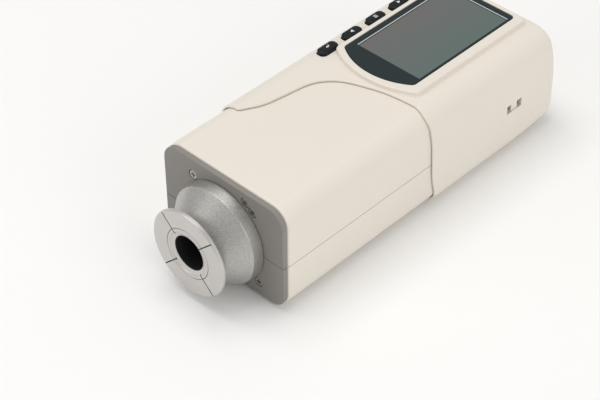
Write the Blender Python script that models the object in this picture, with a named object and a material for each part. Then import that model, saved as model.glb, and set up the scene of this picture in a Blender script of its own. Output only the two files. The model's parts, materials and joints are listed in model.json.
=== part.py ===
"""A handheld colorimeter: a two-part grip, a wrapped rear head with a screen and keys, and a measuring dome.

Metres, +Z up. The origin is the centre of the footprint, on the surface the head rests on. The measuring
aperture looks along -Y, the screen looks up, and +X is the side with the lanyard slot. Distances called
depth are measured back from the front face of the end plates, and those called reach forward from it.
"""

import math

import bmesh
import bpy
from mathutils import Matrix, Vector

for old in list(bpy.data.objects):
    bpy.data.objects.remove(old, do_unlink=True)

# Driving sizes of the whole instrument
GRIP_WIDTH = 0.071
GRIP_HEIGHT = 0.0529
GRIP_TOP_RADIUS = 0.009
GRIP_LOW_RADIUS = 0.0075
BODY_LENGTH = 0.182
HEAD_STEP = 0.0013
WALL = 0.0022
PART_HEIGHT = 0.0237
DOME_REACH = 0.0208
AXIS_HEIGHT = 0.0242

# Clearances and the overrun of every cut
GAP = 0.0003
OVERRUN = 0.0006
KEY_TRAVEL = 0.0007

# Values worked out from them
OVERALL_LENGTH = BODY_LENGTH + DOME_REACH
FRONT_Y = DOME_REACH - OVERALL_LENGTH / 2
GRIP_LOW = HEAD_STEP
GRIP_HIGH = HEAD_STEP + GRIP_HEIGHT
SPLIT_Z = HEAD_STEP + PART_HEIGHT
AXIS_Z = HEAD_STEP + AXIS_HEIGHT
GRIP_HALF = GRIP_WIDTH / 2
HEAD_HALF = GRIP_HALF + HEAD_STEP
HEAD_HIGH = GRIP_HIGH + HEAD_STEP
HEAD_TOP_RADIUS = GRIP_TOP_RADIUS + HEAD_STEP
HEAD_LOW_RADIUS = GRIP_LOW_RADIUS + HEAD_STEP

CORNER_STEPS = 5
DOME_SIDES = 48
ROUND_SIDES = 24
SMALL_SIDES = 16


def material(name, colour, roughness, metallic=0.0):
    found = bpy.data.materials.get(name)
    if found:
        return found
    made = bpy.data.materials.new(name)
    made.use_nodes = True
    shader = made.node_tree.nodes["Principled BSDF"]
    shader.inputs["Base Color"].default_value = (*colour, 1)
    shader.inputs["Roughness"].default_value = roughness
    shader.inputs["Metallic"].default_value = metallic
    return made


def cream_plastic():
    return material("cream_plastic", (0.83, 0.78, 0.70), 0.45)


def grey_plate_paint():
    return material("grey_plate_paint", (0.33, 0.30, 0.28), 0.5)


def silver_paint():
    return material("silver_paint", (0.42, 0.42, 0.40), 0.38, 0.8)


def satin_silver():
    return material("satin_silver", (0.52, 0.49, 0.47), 0.3, 0.6)


def white_coating():
    return material("white_coating", (0.9, 0.9, 0.89), 0.85)


def black_plastic():
    return material("black_plastic", (0.012, 0.018, 0.02), 0.4)


def key_rubber():
    return material("key_rubber", (0.01, 0.016, 0.018), 0.35)


def steel():
    return material("steel", (0.5, 0.48, 0.45), 0.35, 1.0)


def clear_glass():
    return material("clear_glass", (0.06, 0.08, 0.085), 0.08)


def screen_grey():
    return material("screen_grey", (0.16, 0.17, 0.165), 0.25)


def board_green():
    return material("board_green", (0.02, 0.16, 0.07), 0.5)


def battery_wrap():
    return material("battery_wrap", (0.02, 0.08, 0.25), 0.4)


def lamp_white():
    return material("lamp_white", (0.9, 0.88, 0.75), 0.2)


def place(name, mesh, finish=None, location=(0, 0, 0), parent=None, rotation=(0, 0, 0)):
    """An object for a mesh, with its material, place and parent."""
    made = bpy.data.objects.new(name, mesh)
    bpy.context.collection.objects.link(made)
    made.location = location
    made.rotation_euler = rotation
    made.parent = parent
    if finish and not mesh.materials:
        mesh.materials.append(finish)
    return made


def helper(name, mesh, location=(0, 0, 0), parent=None, rotation=(0, 0, 0)):
    """A cutter or an addition that only a Boolean uses."""
    made = place(name, mesh, None, location, parent, rotation)
    made.hide_render = True
    made.display_type = "WIRE"
    return made


def combine(target, tool, operation):
    step = target.modifiers.new(tool.name, "BOOLEAN")
    step.operation = operation
    step.solver = "EXACT"
    step.object = tool


def cut(target, *tools):
    for tool in tools:
        combine(target, tool, "DIFFERENCE")


def join(target, *tools):
    for tool in tools:
        combine(target, tool, "UNION")


def finish_mesh(name, work, smooth_angle=None):
    bmesh.ops.recalc_face_normals(work, faces=work.faces)
    mesh = bpy.data.meshes.new(name)
    work.to_mesh(mesh)
    work.free()
    if smooth_angle:
        mesh.shade_smooth()
        mesh.set_sharp_from_angle(angle=smooth_angle)
    return mesh


ROUND_EDGE = math.radians(35)


def loft(name, rings, smooth_angle=ROUND_EDGE, caps=True):
    """Closed rings of points bridged in turn. Without caps the last ring joins the first."""
    work = bmesh.new()
    rows = [[work.verts.new(point) for point in ring] for ring in rings]
    pairs = list(zip(rows, rows[1:]))
    if caps:
        work.faces.new(rows[0])
        work.faces.new(rows[-1])
    else:
        pairs.append((rows[-1], rows[0]))
    for first, second in pairs:
        for k in range(len(first)):
            n = (k + 1) % len(first)
            work.faces.new((first[k], first[n], second[n], second[k]))
    return finish_mesh(name, work, smooth_angle)


def turned(name, profile, sides, smooth_angle=ROUND_EDGE):
    """A profile of (radius, height) turned about Z. It is a loop, or runs from the axis to the axis."""
    work = bmesh.new()
    rows = []
    for radius, height in profile:
        if radius:
            turns = [2 * math.pi * k / sides for k in range(sides)]
            rows.append([work.verts.new((radius * math.cos(a), radius * math.sin(a), height)) for a in turns])
        else:
            rows.append([work.verts.new((0, 0, height))])
    pairs = list(zip(rows, rows[1:]))
    if len(rows[0]) > 1:
        pairs.append((rows[-1], rows[0]))
    for first, second in pairs:
        for k in range(sides):
            n = (k + 1) % sides
            corners = [row[at % len(row)] for row, at in ((first, k), (first, n), (second, n), (second, k))]
            work.faces.new(dict.fromkeys(corners))
    return finish_mesh(name, work, smooth_angle)


def prism(name, outline, low, high, smooth_angle=None):
    """An outline of (x, y) raised from low to high along Z."""
    return loft(name, [[(x, y, z) for x, y in outline] for z in (low, high)], smooth_angle)


def box(name, size, centre=(0, 0, 0)):
    half = [side / 2 for side in size]
    outline = [(-half[0], -half[1]), (half[0], -half[1]), (half[0], half[1]), (-half[0], half[1])]
    outline = [(x + centre[0], y + centre[1]) for x, y in outline]
    return prism(name, outline, centre[2] - half[2], centre[2] + half[2])


def arc(centre_x, centre_y, radius, start, end, steps):
    turns = [start + (end - start) * k / steps for k in range(steps + 1)]
    return [(centre_x + radius * math.cos(a), centre_y + radius * math.sin(a)) for a in turns]


def rounded_outline(width, length, radius, steps=4):
    """A rectangle with round corners, centred on the origin."""
    x, y = width / 2 - radius, length / 2 - radius
    quarter = math.pi / 2
    corners = ((x, -y, -quarter), (x, y, 0), (-x, y, quarter), (-x, -y, 2 * quarter))
    return [p for cx, cy, a in corners for p in arc(cx, cy, radius, a, a + quarter, steps)]


LAY_ALONG_Y = Matrix.Rotation(math.pi / 2, 4, "X")


def facing_front(mesh):
    """Turns a piece made about +Z so that +Z looks along -Y."""
    mesh.transform(LAY_ALONG_Y)
    return mesh


# Section of the body: places round it, each with its outward normal

SEAM_START = 0.035
SEAM_RUN = 0.0536
SEAM_TOP_SHARES = (
    (-0.63, 0.09), (-0.55, 0.21), (-0.50, 0.40), (-0.45, 0.61), (-0.37, 0.73), (-0.20, 0.84), (0.03, 0.91),
    (0.40, 0.98),
)
SEAM_SIDE_SHARES = (
    (1.0, 1.0), (0.95, 0.935), (0.86, 0.955), (0.64, 1.02), (0.34, 1.055), (0.16, 1.10), (0.0, 1.13),
)
SEAM_LOW_SHARE = 1.13


def blend(table, at):
    """The value of a table of (place, value) at a place, straight between its points."""
    points = sorted(table)
    if at <= points[0][0]:
        return points[0][1]
    for (a, first), (b, second) in zip(points, points[1:]):
        if at <= b:
            return first + (second - first) * (at - a) / (b - a)
    return points[-1][1]


def seam_depth(x, z):
    """How far back the front edge of the head lies at a point of its section."""
    flat = HEAD_HALF - HEAD_TOP_RADIUS
    top_run = blend(((-flat / HEAD_HALF, 0), *SEAM_TOP_SHARES, (flat / HEAD_HALF, 1)), x / HEAD_HALF)
    height_share = z / HEAD_HIGH
    if x >= flat:
        run = blend(SEAM_SIDE_SHARES, height_share)
    elif height_share > 1 / 2:
        run = top_run
    else:
        run = top_run * SEAM_LOW_SHARE
    return SEAM_START + SEAM_RUN * run


def section(half, low, high, low_radius, high_radius):
    """Columns round a section as (x, z, nx, nz), clockwise from the far end of the top flat."""
    columns = []
    flat = half - high_radius
    low_flat = half - low_radius
    shares = [share for share, run in SEAM_TOP_SHARES]
    columns += [(-flat, high, 0, 1)] + [(share * half, high, 0, 1) for share in shares]
    quarter = math.pi / 2
    columns += corner(flat, high - high_radius, high_radius, quarter, 0)
    columns += side_columns(half, low + low_radius, high - high_radius, 1)
    columns += corner(low_flat, low + low_radius, low_radius, 0, -quarter)
    columns += [(share * half, low, 0, -1) for share in reversed(shares)]
    columns += corner(-low_flat, low + low_radius, low_radius, -quarter, -2 * quarter)
    columns += side_columns(-half, low + low_radius, high - high_radius, -1)[::-1]
    columns += corner(-flat, high - high_radius, high_radius, 2 * quarter, quarter)[:-1]
    return columns


def corner(centre_x, centre_z, radius, start, end):
    found = []
    for k in range(CORNER_STEPS + 1):
        a = start + (end - start) * k / CORNER_STEPS
        across, up = math.cos(a), math.sin(a)
        found.append((centre_x + radius * across, centre_z + radius * up, across, up))
    return found


def side_columns(x, low, high, facing):
    return [(x, high + (low - high) * share, facing, 0) for share in (1 / 3, 2 / 3)]


# Grip shells

GRIP_FRONT_ROUND = 0.0014
PLATE_THICKNESS = 0.0022
SPIGOT_DEPTH = 0.108
BOSS_INSET = 0.0093
BOSS_SIDE = GRIP_HALF - BOSS_INSET
BOSS_RADIUS = 0.0031
BOSS_DEPTHS = {"front": 0.027, "rear": 0.102}
SCREW_SHANK = 0.0012
SCREW_HEAD = 0.0023
SCREW_HEAD_HEIGHT = 0.0016
CASE_SCREW_LENGTH = 0.034
BOARD_BOSS_DEPTH = 0.062
BOARD_BOSS_RADIUS = 0.0025
BOARD_BOSS_INSET = 0.0035
BOARD_CLEARANCE = 0.0006
MAIN_BOARD_WIDTH = 2 * (BOSS_SIDE - BOSS_RADIUS - BOARD_CLEARANCE)
BOARD_BOSS_SIDE = MAIN_BOARD_WIDTH / 2 - BOARD_BOSS_INSET


def half_profile(upper, outer_inset):
    """The section of one grip half as a closed loop of (x, z): its outer side, then its inner one."""
    kept = half_outline(upper)
    outer = [(x - nx * outer_inset, z - nz * outer_inset) for x, z, nx, nz in kept]
    inner = [(x - nx * WALL, z - nz * WALL) for x, z, nx, nz in kept]
    return outer + inner[::-1]


def rotate_to_far_side(columns):
    """The upper columns in order from the far side, over the top, to the near side."""
    return sorted(columns, key=lambda c: (math.copysign(1, c[0]) * (GRIP_HIGH - c[1]), c[0]))


def grip_half(name, upper):
    rings = []
    for k in range(4):
        turn = k / 3 * math.pi / 2
        inset = GRIP_FRONT_ROUND * (1 - math.sin(turn))
        depth = PLATE_THICKNESS + GAP + GRIP_FRONT_ROUND * (1 - math.cos(turn))
        rings.append([(x, FRONT_Y + depth, z) for x, z in half_profile(upper, inset)])
    rings.append([(x, FRONT_Y + SPIGOT_DEPTH, z) for x, z in half_profile(upper, 0)])
    return place(name, loft(name, rings), cream_plastic())


def boss_places():
    return [(side * BOSS_SIDE, depth) for depth in BOSS_DEPTHS.values() for side in (-1, 1)]


def post(name, x, depth, low, high, radius):
    """An upright round helper."""
    shape = turned(name, [(0, low), (radius, low), (radius, high), (0, high)], SMALL_SIDES)
    return helper(name, shape, (x, FRONT_Y + depth, 0))


HALF_SIDE_TURN = math.pi / SMALL_SIDES


def bore(name, x, depth, steps):
    """An upright stepped bore from a profile of (radius, height), turned by half a side from what it cuts."""
    shape = turned(name, [(0, steps[0][1]), *steps, (0, steps[-1][1])], SMALL_SIDES)
    return helper(name, shape, (x, FRONT_Y + depth, 0), None, (0, 0, HALF_SIDE_TURN))


def add_case_bosses(upper_shell, lower_shell):
    for k, (x, depth) in enumerate(boss_places()):
        foot = GRIP_LOW + WALL / 2
        join(lower_shell, post(f"low_boss_{k}", x, depth, foot, SPLIT_Z - GAP / 2, BOSS_RADIUS))
        low, high = SPLIT_Z + GAP / 2, screw_top(depth) + WALL
        reach = GRIP_HALF - WALL / 2 - BOSS_SIDE
        rib = box(f"boss_rib_{k}", (reach, WALL, high - low))
        middle = (math.copysign(BOSS_SIDE + reach / 2, x), FRONT_Y + depth, (low + high) / 2)
        join(upper_shell, post(f"high_boss_{k}", x, depth, low, high, BOSS_RADIUS))
        join(upper_shell, helper(f"boss_rib_{k}", rib, middle))
    shank, head = SCREW_SHANK + GAP, SCREW_HEAD + GAP
    for k, (x, depth) in enumerate(boss_places()):
        seat = screw_seat(depth) + GAP
        steps = [(head, -OVERRUN), (head, seat), (shank, seat), (shank, SPLIT_Z + OVERRUN)]
        cut(lower_shell, bore(f"low_bore_{k}", x, depth, steps))
        steps = [(shank, SPLIT_Z - OVERRUN), (shank, screw_top(depth))]
        cut(upper_shell, bore(f"high_bore_{k}", x, depth, steps))


def screw_top(depth):
    """Height of the floor of a case screw's blind bore."""
    return screw_seat(depth) - SCREW_HEAD_HEIGHT + CASE_SCREW_LENGTH + GAP


def screw_seat(depth):
    """Height of the top of a case screw's head. The rear pair also holds the head housing."""
    return GRIP_LOW + GAP + SCREW_HEAD_HEIGHT if depth == BOSS_DEPTHS["front"] else GAP + SCREW_HEAD_HEIGHT


def add_board_bosses(lower_shell):
    for side in (-1, 1):
        join(lower_shell, board_boss(f"board_boss_{side}", side, BOARD_BOSS_DEPTH))


def board_boss(name, side, depth):
    """A post from inside the floor's thickness to the underside of the main board."""
    return post(name, side * BOARD_BOSS_SIDE, depth, GRIP_LOW + WALL / 2, BOARD_LOW - GAP, BOARD_BOSS_RADIUS)


def cross_recess(name, size, width, depth, height):
    """A cross-shaped cutter whose floor lies at height."""
    arm, half = size / 2, width / 2
    corners = [(half, half), (half, arm), (-half, arm), (-half, half), (-arm, half), (-arm, -half), (-half, -half),
               (-half, -arm), (half, -arm), (half, -half), (arm, -half), (arm, half)]
    return prism(name, corners, height, height + depth + OVERRUN)


CROSS_SIZE_SHARE = 1.25
CROSS_WIDTH_SHARE = 0.3
CROSS_DEPTH_SHARE = 0.5


def screw_mesh(name, length, head, head_height, shank, countersunk):
    """A cross-head screw whose head's flat top is at height 0, its shank running down -Z."""
    rim = head_height / 4
    if countersunk:
        profile = [(0, -length), (shank, -length), (shank, -head_height), (head, -rim), (head, 0), (0, 0)]
    else:
        profile = [(0, -length), (shank, -length), (shank, -head_height), (head, -head_height), (head, -rim),
                   (head - rim, 0), (0, 0)]
    body = helper(name + "_blank", turned(name, profile, SMALL_SIDES))
    size, width, depth = head * CROSS_SIZE_SHARE, head * CROSS_WIDTH_SHARE, head_height * CROSS_DEPTH_SHARE
    cut(body, helper(name + "_cross", cross_recess(name + "_cross", size, width, depth, -depth)))
    bpy.context.view_layer.update()
    made = bpy.data.meshes.new_from_object(body.evaluated_get(bpy.context.evaluated_depsgraph_get()))
    made.name = name
    made.materials.clear()
    made.materials.append(steel())
    return made


def case_screws():
    mesh = screw_mesh("case_screw", CASE_SCREW_LENGTH, SCREW_HEAD, SCREW_HEAD_HEIGHT, SCREW_SHANK, False)
    for k, (x, depth) in enumerate(boss_places()):
        low = screw_seat(depth) - SCREW_HEAD_HEIGHT
        place(f"case_screw_{k + 1}", mesh, None, (x, FRONT_Y + depth, low), None, (math.pi, 0, 0))


# End plates, the dome and what is on it

PLATE_INSET = 0.0004
PLATE_BORE = 0.0189
PLATE_SCREW_HEAD = 0.0021
PLATE_SCREW_HEAD_HEIGHT = 0.0012
PLATE_SCREW_SHANK = 0.0011
PLATE_SCREW_LENGTH = 0.007
PLATE_SCREW_SINK = 0.0002
PLATE_SCREW_TURNS = (131, 60, 49, 320, 220)
DOME_RADIUS = 0.0238
PLATE_SCREW_MARGIN = 0.0026
PLATE_SCREW_RADIUS = DOME_RADIUS + PLATE_SCREW_MARGIN
DOME_BAND = 0.0055
DOME_BAND_TAPER = 0.0003
DOME_NECK = 0.0118
DOME_WALL = 0.0019
DISC_RADIUS = DOME_REACH
DISC_THICKNESS = 0.00175
DISC_CHAMFER = 0.0004
RING_RADIUS = 0.0122
RING_TAIL_RADIUS = 0.01
APERTURE_RADIUS = 0.0082
APERTURE_BEVEL = 0.0017
APERTURE_BEVEL_DEPTH = 0.0009
LINE_WIDTH = 0.0006
LINE_DEPTH = 0.0003
BOWL_POWER = 1.06
BOWL_STEPS = 4
SPHERE_RADIUS = 0.0185
SPHERE_WALL = 0.0015
SPHERE_DEPTH = 0.004
SPHERE_FLANGE = 0.0215
SPHERE_FLANGE_THICKNESS = 0.0015
SPHERE_PORT = 0.0088
SPHERE_STEPS = 5


def end_plate(name, upper):
    half = half_outline(upper)
    rings = []
    for inset, depth in ((2 * PLATE_INSET, 0), (PLATE_INSET, PLATE_INSET), (PLATE_INSET, PLATE_THICKNESS)):
        rings.append([(x - nx * inset, FRONT_Y + depth, z - nz * inset) for x, z, nx, nz in half])
    plate = place(name, loft(name, rings), grey_plate_paint())
    low = -PLATE_THICKNESS - OVERRUN
    profile = [(0, low), (PLATE_BORE, low), (PLATE_BORE, OVERRUN), (0, OVERRUN)]
    hole = facing_front(turned(name + "_bore", profile, DOME_SIDES))
    cut(plate, helper(name + "_bore", hole, (0, FRONT_Y, AXIS_Z)))
    return plate


def half_outline(upper):
    """The grip's section on one side of the parting plane, closed along that plane."""
    columns = section(GRIP_HALF, GRIP_LOW, GRIP_HIGH, GRIP_LOW_RADIUS, GRIP_TOP_RADIUS)
    edge = SPLIT_Z + GAP / 2 if upper else SPLIT_Z - GAP / 2
    if upper:
        kept = rotate_to_far_side([c for c in columns if c[1] > edge])
        return [(-GRIP_HALF, edge, -1, 0)] + kept + [(GRIP_HALF, edge, 1, 0)]
    kept = [c for c in columns if c[1] < edge]
    return [(GRIP_HALF, edge, 1, 0)] + kept + [(-GRIP_HALF, edge, -1, 0)]


def plate_screw_places():
    for turn in PLATE_SCREW_TURNS:
        a = math.radians(turn)
        yield PLATE_SCREW_RADIUS * math.cos(a), AXIS_Z + PLATE_SCREW_RADIUS * math.sin(a)


def plate_screws(upper_plate, lower_plate):
    mesh = screw_mesh("plate_screw", PLATE_SCREW_LENGTH, PLATE_SCREW_HEAD, PLATE_SCREW_HEAD_HEIGHT,
                      PLATE_SCREW_SHANK, True)
    head, shank = PLATE_SCREW_HEAD + GAP, PLATE_SCREW_SHANK + GAP
    floor = -PLATE_SCREW_SINK - PLATE_SCREW_HEAD_HEIGHT
    seat = [(0, -PLATE_THICKNESS - OVERRUN), (shank, -PLATE_THICKNESS - OVERRUN), (shank, floor - GAP),
            (head, -PLATE_SCREW_SINK - GAP), (head, OVERRUN), (0, OVERRUN)]
    for k, (x, z) in enumerate(plate_screw_places()):
        plate = upper_plate if z > SPLIT_Z else lower_plate
        tool = facing_front(turned(f"plate_seat_{k}", seat, SMALL_SIDES))
        cut(plate, helper(f"plate_seat_{k}", tool, (x, FRONT_Y, z)))
        middle = (x, FRONT_Y + PLATE_SCREW_SINK, z)
        place(f"plate_screw_{k + 1}", mesh, None, middle, None, (math.pi / 2, 0, 0))


def bowl(start_radius, end_radius, start, end):
    """Points along the dome's side, which is nearly straight from the band to the neck."""
    found = []
    for k in range(BOWL_STEPS + 1):
        turn = k / BOWL_STEPS * math.pi / 2
        out = math.cos(turn) ** (2 / BOWL_POWER) if k < BOWL_STEPS else 0
        on = math.sin(turn) ** (2 / BOWL_POWER)
        found.append((end_radius + (start_radius - end_radius) * out, start + (end - start) * on))
    return found


def measuring_dome():
    front = DOME_REACH - DISC_THICKNESS - GAP
    ridge = DOME_RADIUS - DOME_BAND_TAPER
    bore = RING_TAIL_RADIUS + GAP
    outside = [(DOME_RADIUS, GAP), (ridge, DOME_BAND)]
    outside += bowl(ridge - DOME_WALL / 3, DOME_NECK, DOME_BAND + DOME_WALL / 4, front)
    inside = bowl(ridge - DOME_WALL - DOME_WALL / 3, bore, DOME_BAND, front - DOME_WALL)
    inside = [(radius, reach) for radius, reach in inside if radius > bore]
    loop = outside + [(bore, front), (bore, inside[-1][1])] + inside[::-1] + [(DOME_RADIUS - DOME_WALL, GAP)]
    mesh = facing_front(turned("measuring_dome", loop, DOME_SIDES))
    return place("measuring_dome", mesh, silver_paint(), (0, FRONT_Y, AXIS_Z))


def cross_lines(name, length):
    """Two thin bars at 45 degrees that cut the sighting lines."""
    bar = box(name, (length, 2 * LINE_DEPTH, LINE_WIDTH))
    where = (0, FRONT_Y - DOME_REACH, AXIS_Z)
    return [helper(f"{name}_{k}", bar, where, None, (0, math.radians(45 + 90 * k), 0)) for k in range(2)]


def locating_disc():
    low, high = DOME_REACH - DISC_THICKNESS, DOME_REACH
    bore = RING_RADIUS + GAP
    loop = [(DISC_RADIUS, low), (DISC_RADIUS, high - DISC_CHAMFER), (DISC_RADIUS - DISC_CHAMFER, high), (bore, high),
            (bore, low)]
    disc = place("locating_disc", facing_front(turned("locating_disc", loop, DOME_SIDES)), satin_silver(),
                 (0, FRONT_Y, AXIS_Z))
    cut(disc, *cross_lines("disc_line", 3 * DISC_RADIUS))
    return disc


def aperture_ring():
    bevel = APERTURE_RADIUS + APERTURE_BEVEL
    tail = math.sqrt((SPHERE_RADIUS - SPHERE_WALL) ** 2 - SPHERE_PORT**2) - SPHERE_DEPTH + GAP
    shoulder = DOME_REACH - DISC_THICKNESS
    loop = [(RING_TAIL_RADIUS, tail), (RING_TAIL_RADIUS, shoulder), (RING_RADIUS, shoulder), (RING_RADIUS, DOME_REACH),
            (bevel, DOME_REACH), (APERTURE_RADIUS, DOME_REACH - APERTURE_BEVEL_DEPTH), (APERTURE_RADIUS, tail)]
    ring = place("aperture_ring", facing_front(turned("aperture_ring", loop, DOME_SIDES)), satin_silver(),
                 (0, FRONT_Y, AXIS_Z))
    cut(ring, *cross_lines("ring_line", 3 * DISC_RADIUS))
    return ring


# Integrating sphere, its lamp and its sensor, all about the sphere's centre

SENSOR_TILT = math.radians(8)
BARREL_RADIUS = 0.006
BARREL_BORE = 0.0045
BARREL_LENGTH = 0.02
BARREL_LIP = 0.0008
LENS_THICKNESS = 0.0024
LENS_DEPTH = 0.006
SENSOR_BOARD = 0.02
BOARD_THICKNESS = 0.0012
CHIP_SIZE = 0.005
CHIP_HEIGHT = 0.0012
LAMP_TILT = math.radians(-52)
LAMP_RADIUS = 0.0025
LAMP_LENGTH = 0.006
LAMP_BOARD = 0.012
BRACKET_THICKNESS = 0.0015


def sphere_half(name, front):
    """Half a hollow sphere with a joining flange. Heights run forward from the centre."""
    way = 1 if front else -1
    inner = SPHERE_RADIUS - SPHERE_WALL
    face = GAP / 2
    flange = face + SPHERE_FLANGE_THICKNESS
    end = math.asin(SPHERE_PORT / inner)
    start_out = math.acos(flange / SPHERE_RADIUS)
    start_in = math.acos(face / inner)
    rim = [(SPHERE_FLANGE, face), (SPHERE_FLANGE, flange)]
    if front:
        stop = math.acos(inner * math.cos(end) / SPHERE_RADIUS)
        profile = rim + sphere_arc(SPHERE_RADIUS, start_out, stop) + sphere_arc(inner, start_in, end)[::-1]
    else:
        outside = sphere_arc(SPHERE_RADIUS, start_out, 0)[:-1] + [(0, SPHERE_RADIUS)]
        inside = sphere_arc(inner, start_in, 0)[:-1] + [(0, inner)]
        profile = inside[::-1] + rim + outside
    mesh = facing_front(turned(name, [(radius, way * height) for radius, height in profile], ROUND_SIDES))
    return place(name, mesh, white_coating(), (0, FRONT_Y + SPHERE_DEPTH, AXIS_Z))


def sphere_arc(radius, start, end):
    """Points of (radius, height) on a sphere between two angles from its axis."""
    turns = [start + (end - start) * k / SPHERE_STEPS for k in range(SPHERE_STEPS + 1)]
    return [(radius * math.sin(a), radius * math.cos(a)) for a in turns]


def axis_from_sphere(name, tilt):
    """An empty at the sphere's centre whose +Z runs to the rear, turned sideways by tilt."""
    made = bpy.data.objects.new(name, None)
    bpy.context.collection.objects.link(made)
    made.location = (0, FRONT_Y + SPHERE_DEPTH, AXIS_Z)
    made.rotation_euler = (-math.pi / 2, 0, tilt)
    return made


def port_cutter(name, axis, radius):
    low, high = SPHERE_RADIUS / 2, SPHERE_RADIUS + SPHERE_WALL
    profile = [(0, low), (radius, low), (radius, high), (0, high)]
    return helper(name, turned(name, profile, SMALL_SIDES), (0, 0, 0), axis)


def sensor_group(rear_half):
    axis = axis_from_sphere("sensor_axis", SENSOR_TILT)
    cut(rear_half, port_cutter("sensor_port", axis, BARREL_BORE - BARREL_LIP))
    start = math.sqrt(SPHERE_RADIUS**2 - (BARREL_BORE - BARREL_LIP) ** 2) + GAP
    end = start + BARREL_LENGTH
    lens_low = start + LENS_DEPTH
    ledge = BARREL_BORE - BARREL_LIP
    loop = [(BARREL_RADIUS, start), (BARREL_RADIUS, end), (BARREL_BORE, end), (BARREL_BORE, lens_low - GAP),
            (ledge, lens_low - GAP), (ledge, start)]
    place("sensor_barrel", turned("sensor_barrel", loop, ROUND_SIDES), black_plastic(), (0, 0, 0), axis)
    edge = BARREL_BORE - GAP
    crown = LENS_THICKNESS / 4
    lens = [(0, lens_low), (edge * 3 / 5, lens_low + crown / 3), (edge, lens_low + crown),
            (edge, lens_low + LENS_THICKNESS - crown), (edge * 3 / 5, lens_low + LENS_THICKNESS - crown / 3),
            (0, lens_low + LENS_THICKNESS)]
    place("collecting_lens", turned("collecting_lens", lens, ROUND_SIDES), clear_glass(), (0, 0, 0), axis)
    size = (SENSOR_BOARD, SENSOR_BOARD, BOARD_THICKNESS)
    middle = end + GAP + BOARD_THICKNESS / 2
    place("sensor_board", box("sensor_board", size), board_green(), (0, 0, middle), axis)
    chip = end - CHIP_HEIGHT / 2
    place("sensor_chip", box("sensor_chip", (CHIP_SIZE, CHIP_SIZE, CHIP_HEIGHT)), black_plastic(), (0, 0, chip), axis)


def lamp_group(rear_half):
    axis = axis_from_sphere("lamp_axis", LAMP_TILT)
    cut(rear_half, port_cutter("lamp_port", axis, LAMP_RADIUS + GAP))
    start = SPHERE_RADIUS - SPHERE_WALL
    shoulder = start + LAMP_RADIUS / 2
    end = start + LAMP_LENGTH
    lamp = [(0, start), (LAMP_RADIUS * 2 / 3, start + LAMP_RADIUS / 5), (LAMP_RADIUS, shoulder), (LAMP_RADIUS, end),
            (0, end)]
    place("lamp", turned("lamp", lamp, SMALL_SIDES), lamp_white(), (0, 0, 0), axis)
    middle = end + GAP + BOARD_THICKNESS / 2
    size = (LAMP_BOARD, LAMP_BOARD, BOARD_THICKNESS)
    place("lamp_board", box("lamp_board", size), board_green(), (0, 0, middle), axis)


def optics_bracket():
    """A frame across the grip behind the sphere's flange."""
    depth = SPHERE_DEPTH + GAP / 2 + SPHERE_FLANGE_THICKNESS + GAP
    inset = WALL + GAP
    columns = section(GRIP_HALF, GRIP_LOW, GRIP_HIGH, GRIP_LOW_RADIUS, GRIP_TOP_RADIUS)
    outline = [(x - nx * inset, z - nz * inset) for x, z, nx, nz in columns]
    rings = [[(x, FRONT_Y + d, z) for x, z in outline] for d in (depth, depth + BRACKET_THICKNESS)]
    bracket = place("optics_bracket", loft("optics_bracket", rings), black_plastic())
    hole = SPHERE_RADIUS + GAP
    low, high = -depth - BRACKET_THICKNESS - OVERRUN, -depth + OVERRUN
    tool = facing_front(turned("bracket_hole", [(0, low), (hole, low), (hole, high), (0, high)], ROUND_SIDES))
    cut(bracket, helper("bracket_hole", tool, (0, FRONT_Y, AXIS_Z)))
    for k, (x, z) in enumerate(plate_screw_places()):
        radius = PLATE_SCREW_SHANK + GAP
        profile = [(0, low), (radius, low), (radius, high), (0, high)]
        tool = facing_front(turned(f"bracket_bore_{k}", profile, SMALL_SIDES))
        cut(bracket, helper(f"bracket_bore_{k}", tool, (x, FRONT_Y, z)))
    return bracket


# Boards and battery

BOARD_LOW = 0.0198
MAIN_BOARD_START = 0.054
MAIN_BOARD_END = 0.176
MAIN_BOARD_THICKNESS = 0.0016
SHIELD_LENGTH = 0.022
SHIELD_WIDTH = 0.026
SHIELD_HEIGHT = 0.003
SHIELD_DEPTH = 0.084
SOCKET_WIDTH = 0.0077
SOCKET_HEIGHT = 0.0039
SOCKET_LENGTH = 0.0092
SOCKET_WALL = 0.0005
SOCKET_SETBACK = 0.0006
BATTERY_WIDTH = 0.038
BATTERY_LENGTH = 0.034
BATTERY_HEIGHT = 0.0135
BAY_DEPTH = 0.134
BAY_RIM = 0.005
BAY_RIM_HEIGHT = 0.0065
COVER_THICKNESS = 0.002
COVER_RADIUS = 0.003
REAR_BOSS_DEPTH = 0.166
COVER_SCREW_LENGTH = 0.0042
COVER_SCREW_HEAD = 0.0018
COVER_SCREW_SHANK = 0.0008
COVER_SCREW_HEAD_HEIGHT = 0.0009


def bay_size(extra):
    """Width and length of the battery opening with a margin all round."""
    return BATTERY_WIDTH + 2 * (GAP + extra), BATTERY_LENGTH + 2 * (GAP + extra)


def main_board():
    length = MAIN_BOARD_END - MAIN_BOARD_START
    size = (MAIN_BOARD_WIDTH, length, MAIN_BOARD_THICKNESS)
    middle = FRONT_Y + MAIN_BOARD_START + length / 2
    height = BOARD_LOW + MAIN_BOARD_THICKNESS / 2
    place("main_board", box("main_board", size), board_green(), (0, middle, height))
    top = BOARD_LOW + MAIN_BOARD_THICKNESS + GAP
    can = (SHIELD_WIDTH, SHIELD_LENGTH, SHIELD_HEIGHT)
    place("shield_can", box("shield_can", can), steel(), (0, FRONT_Y + SHIELD_DEPTH, top + SHIELD_HEIGHT / 2))
    socket(top)


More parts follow.
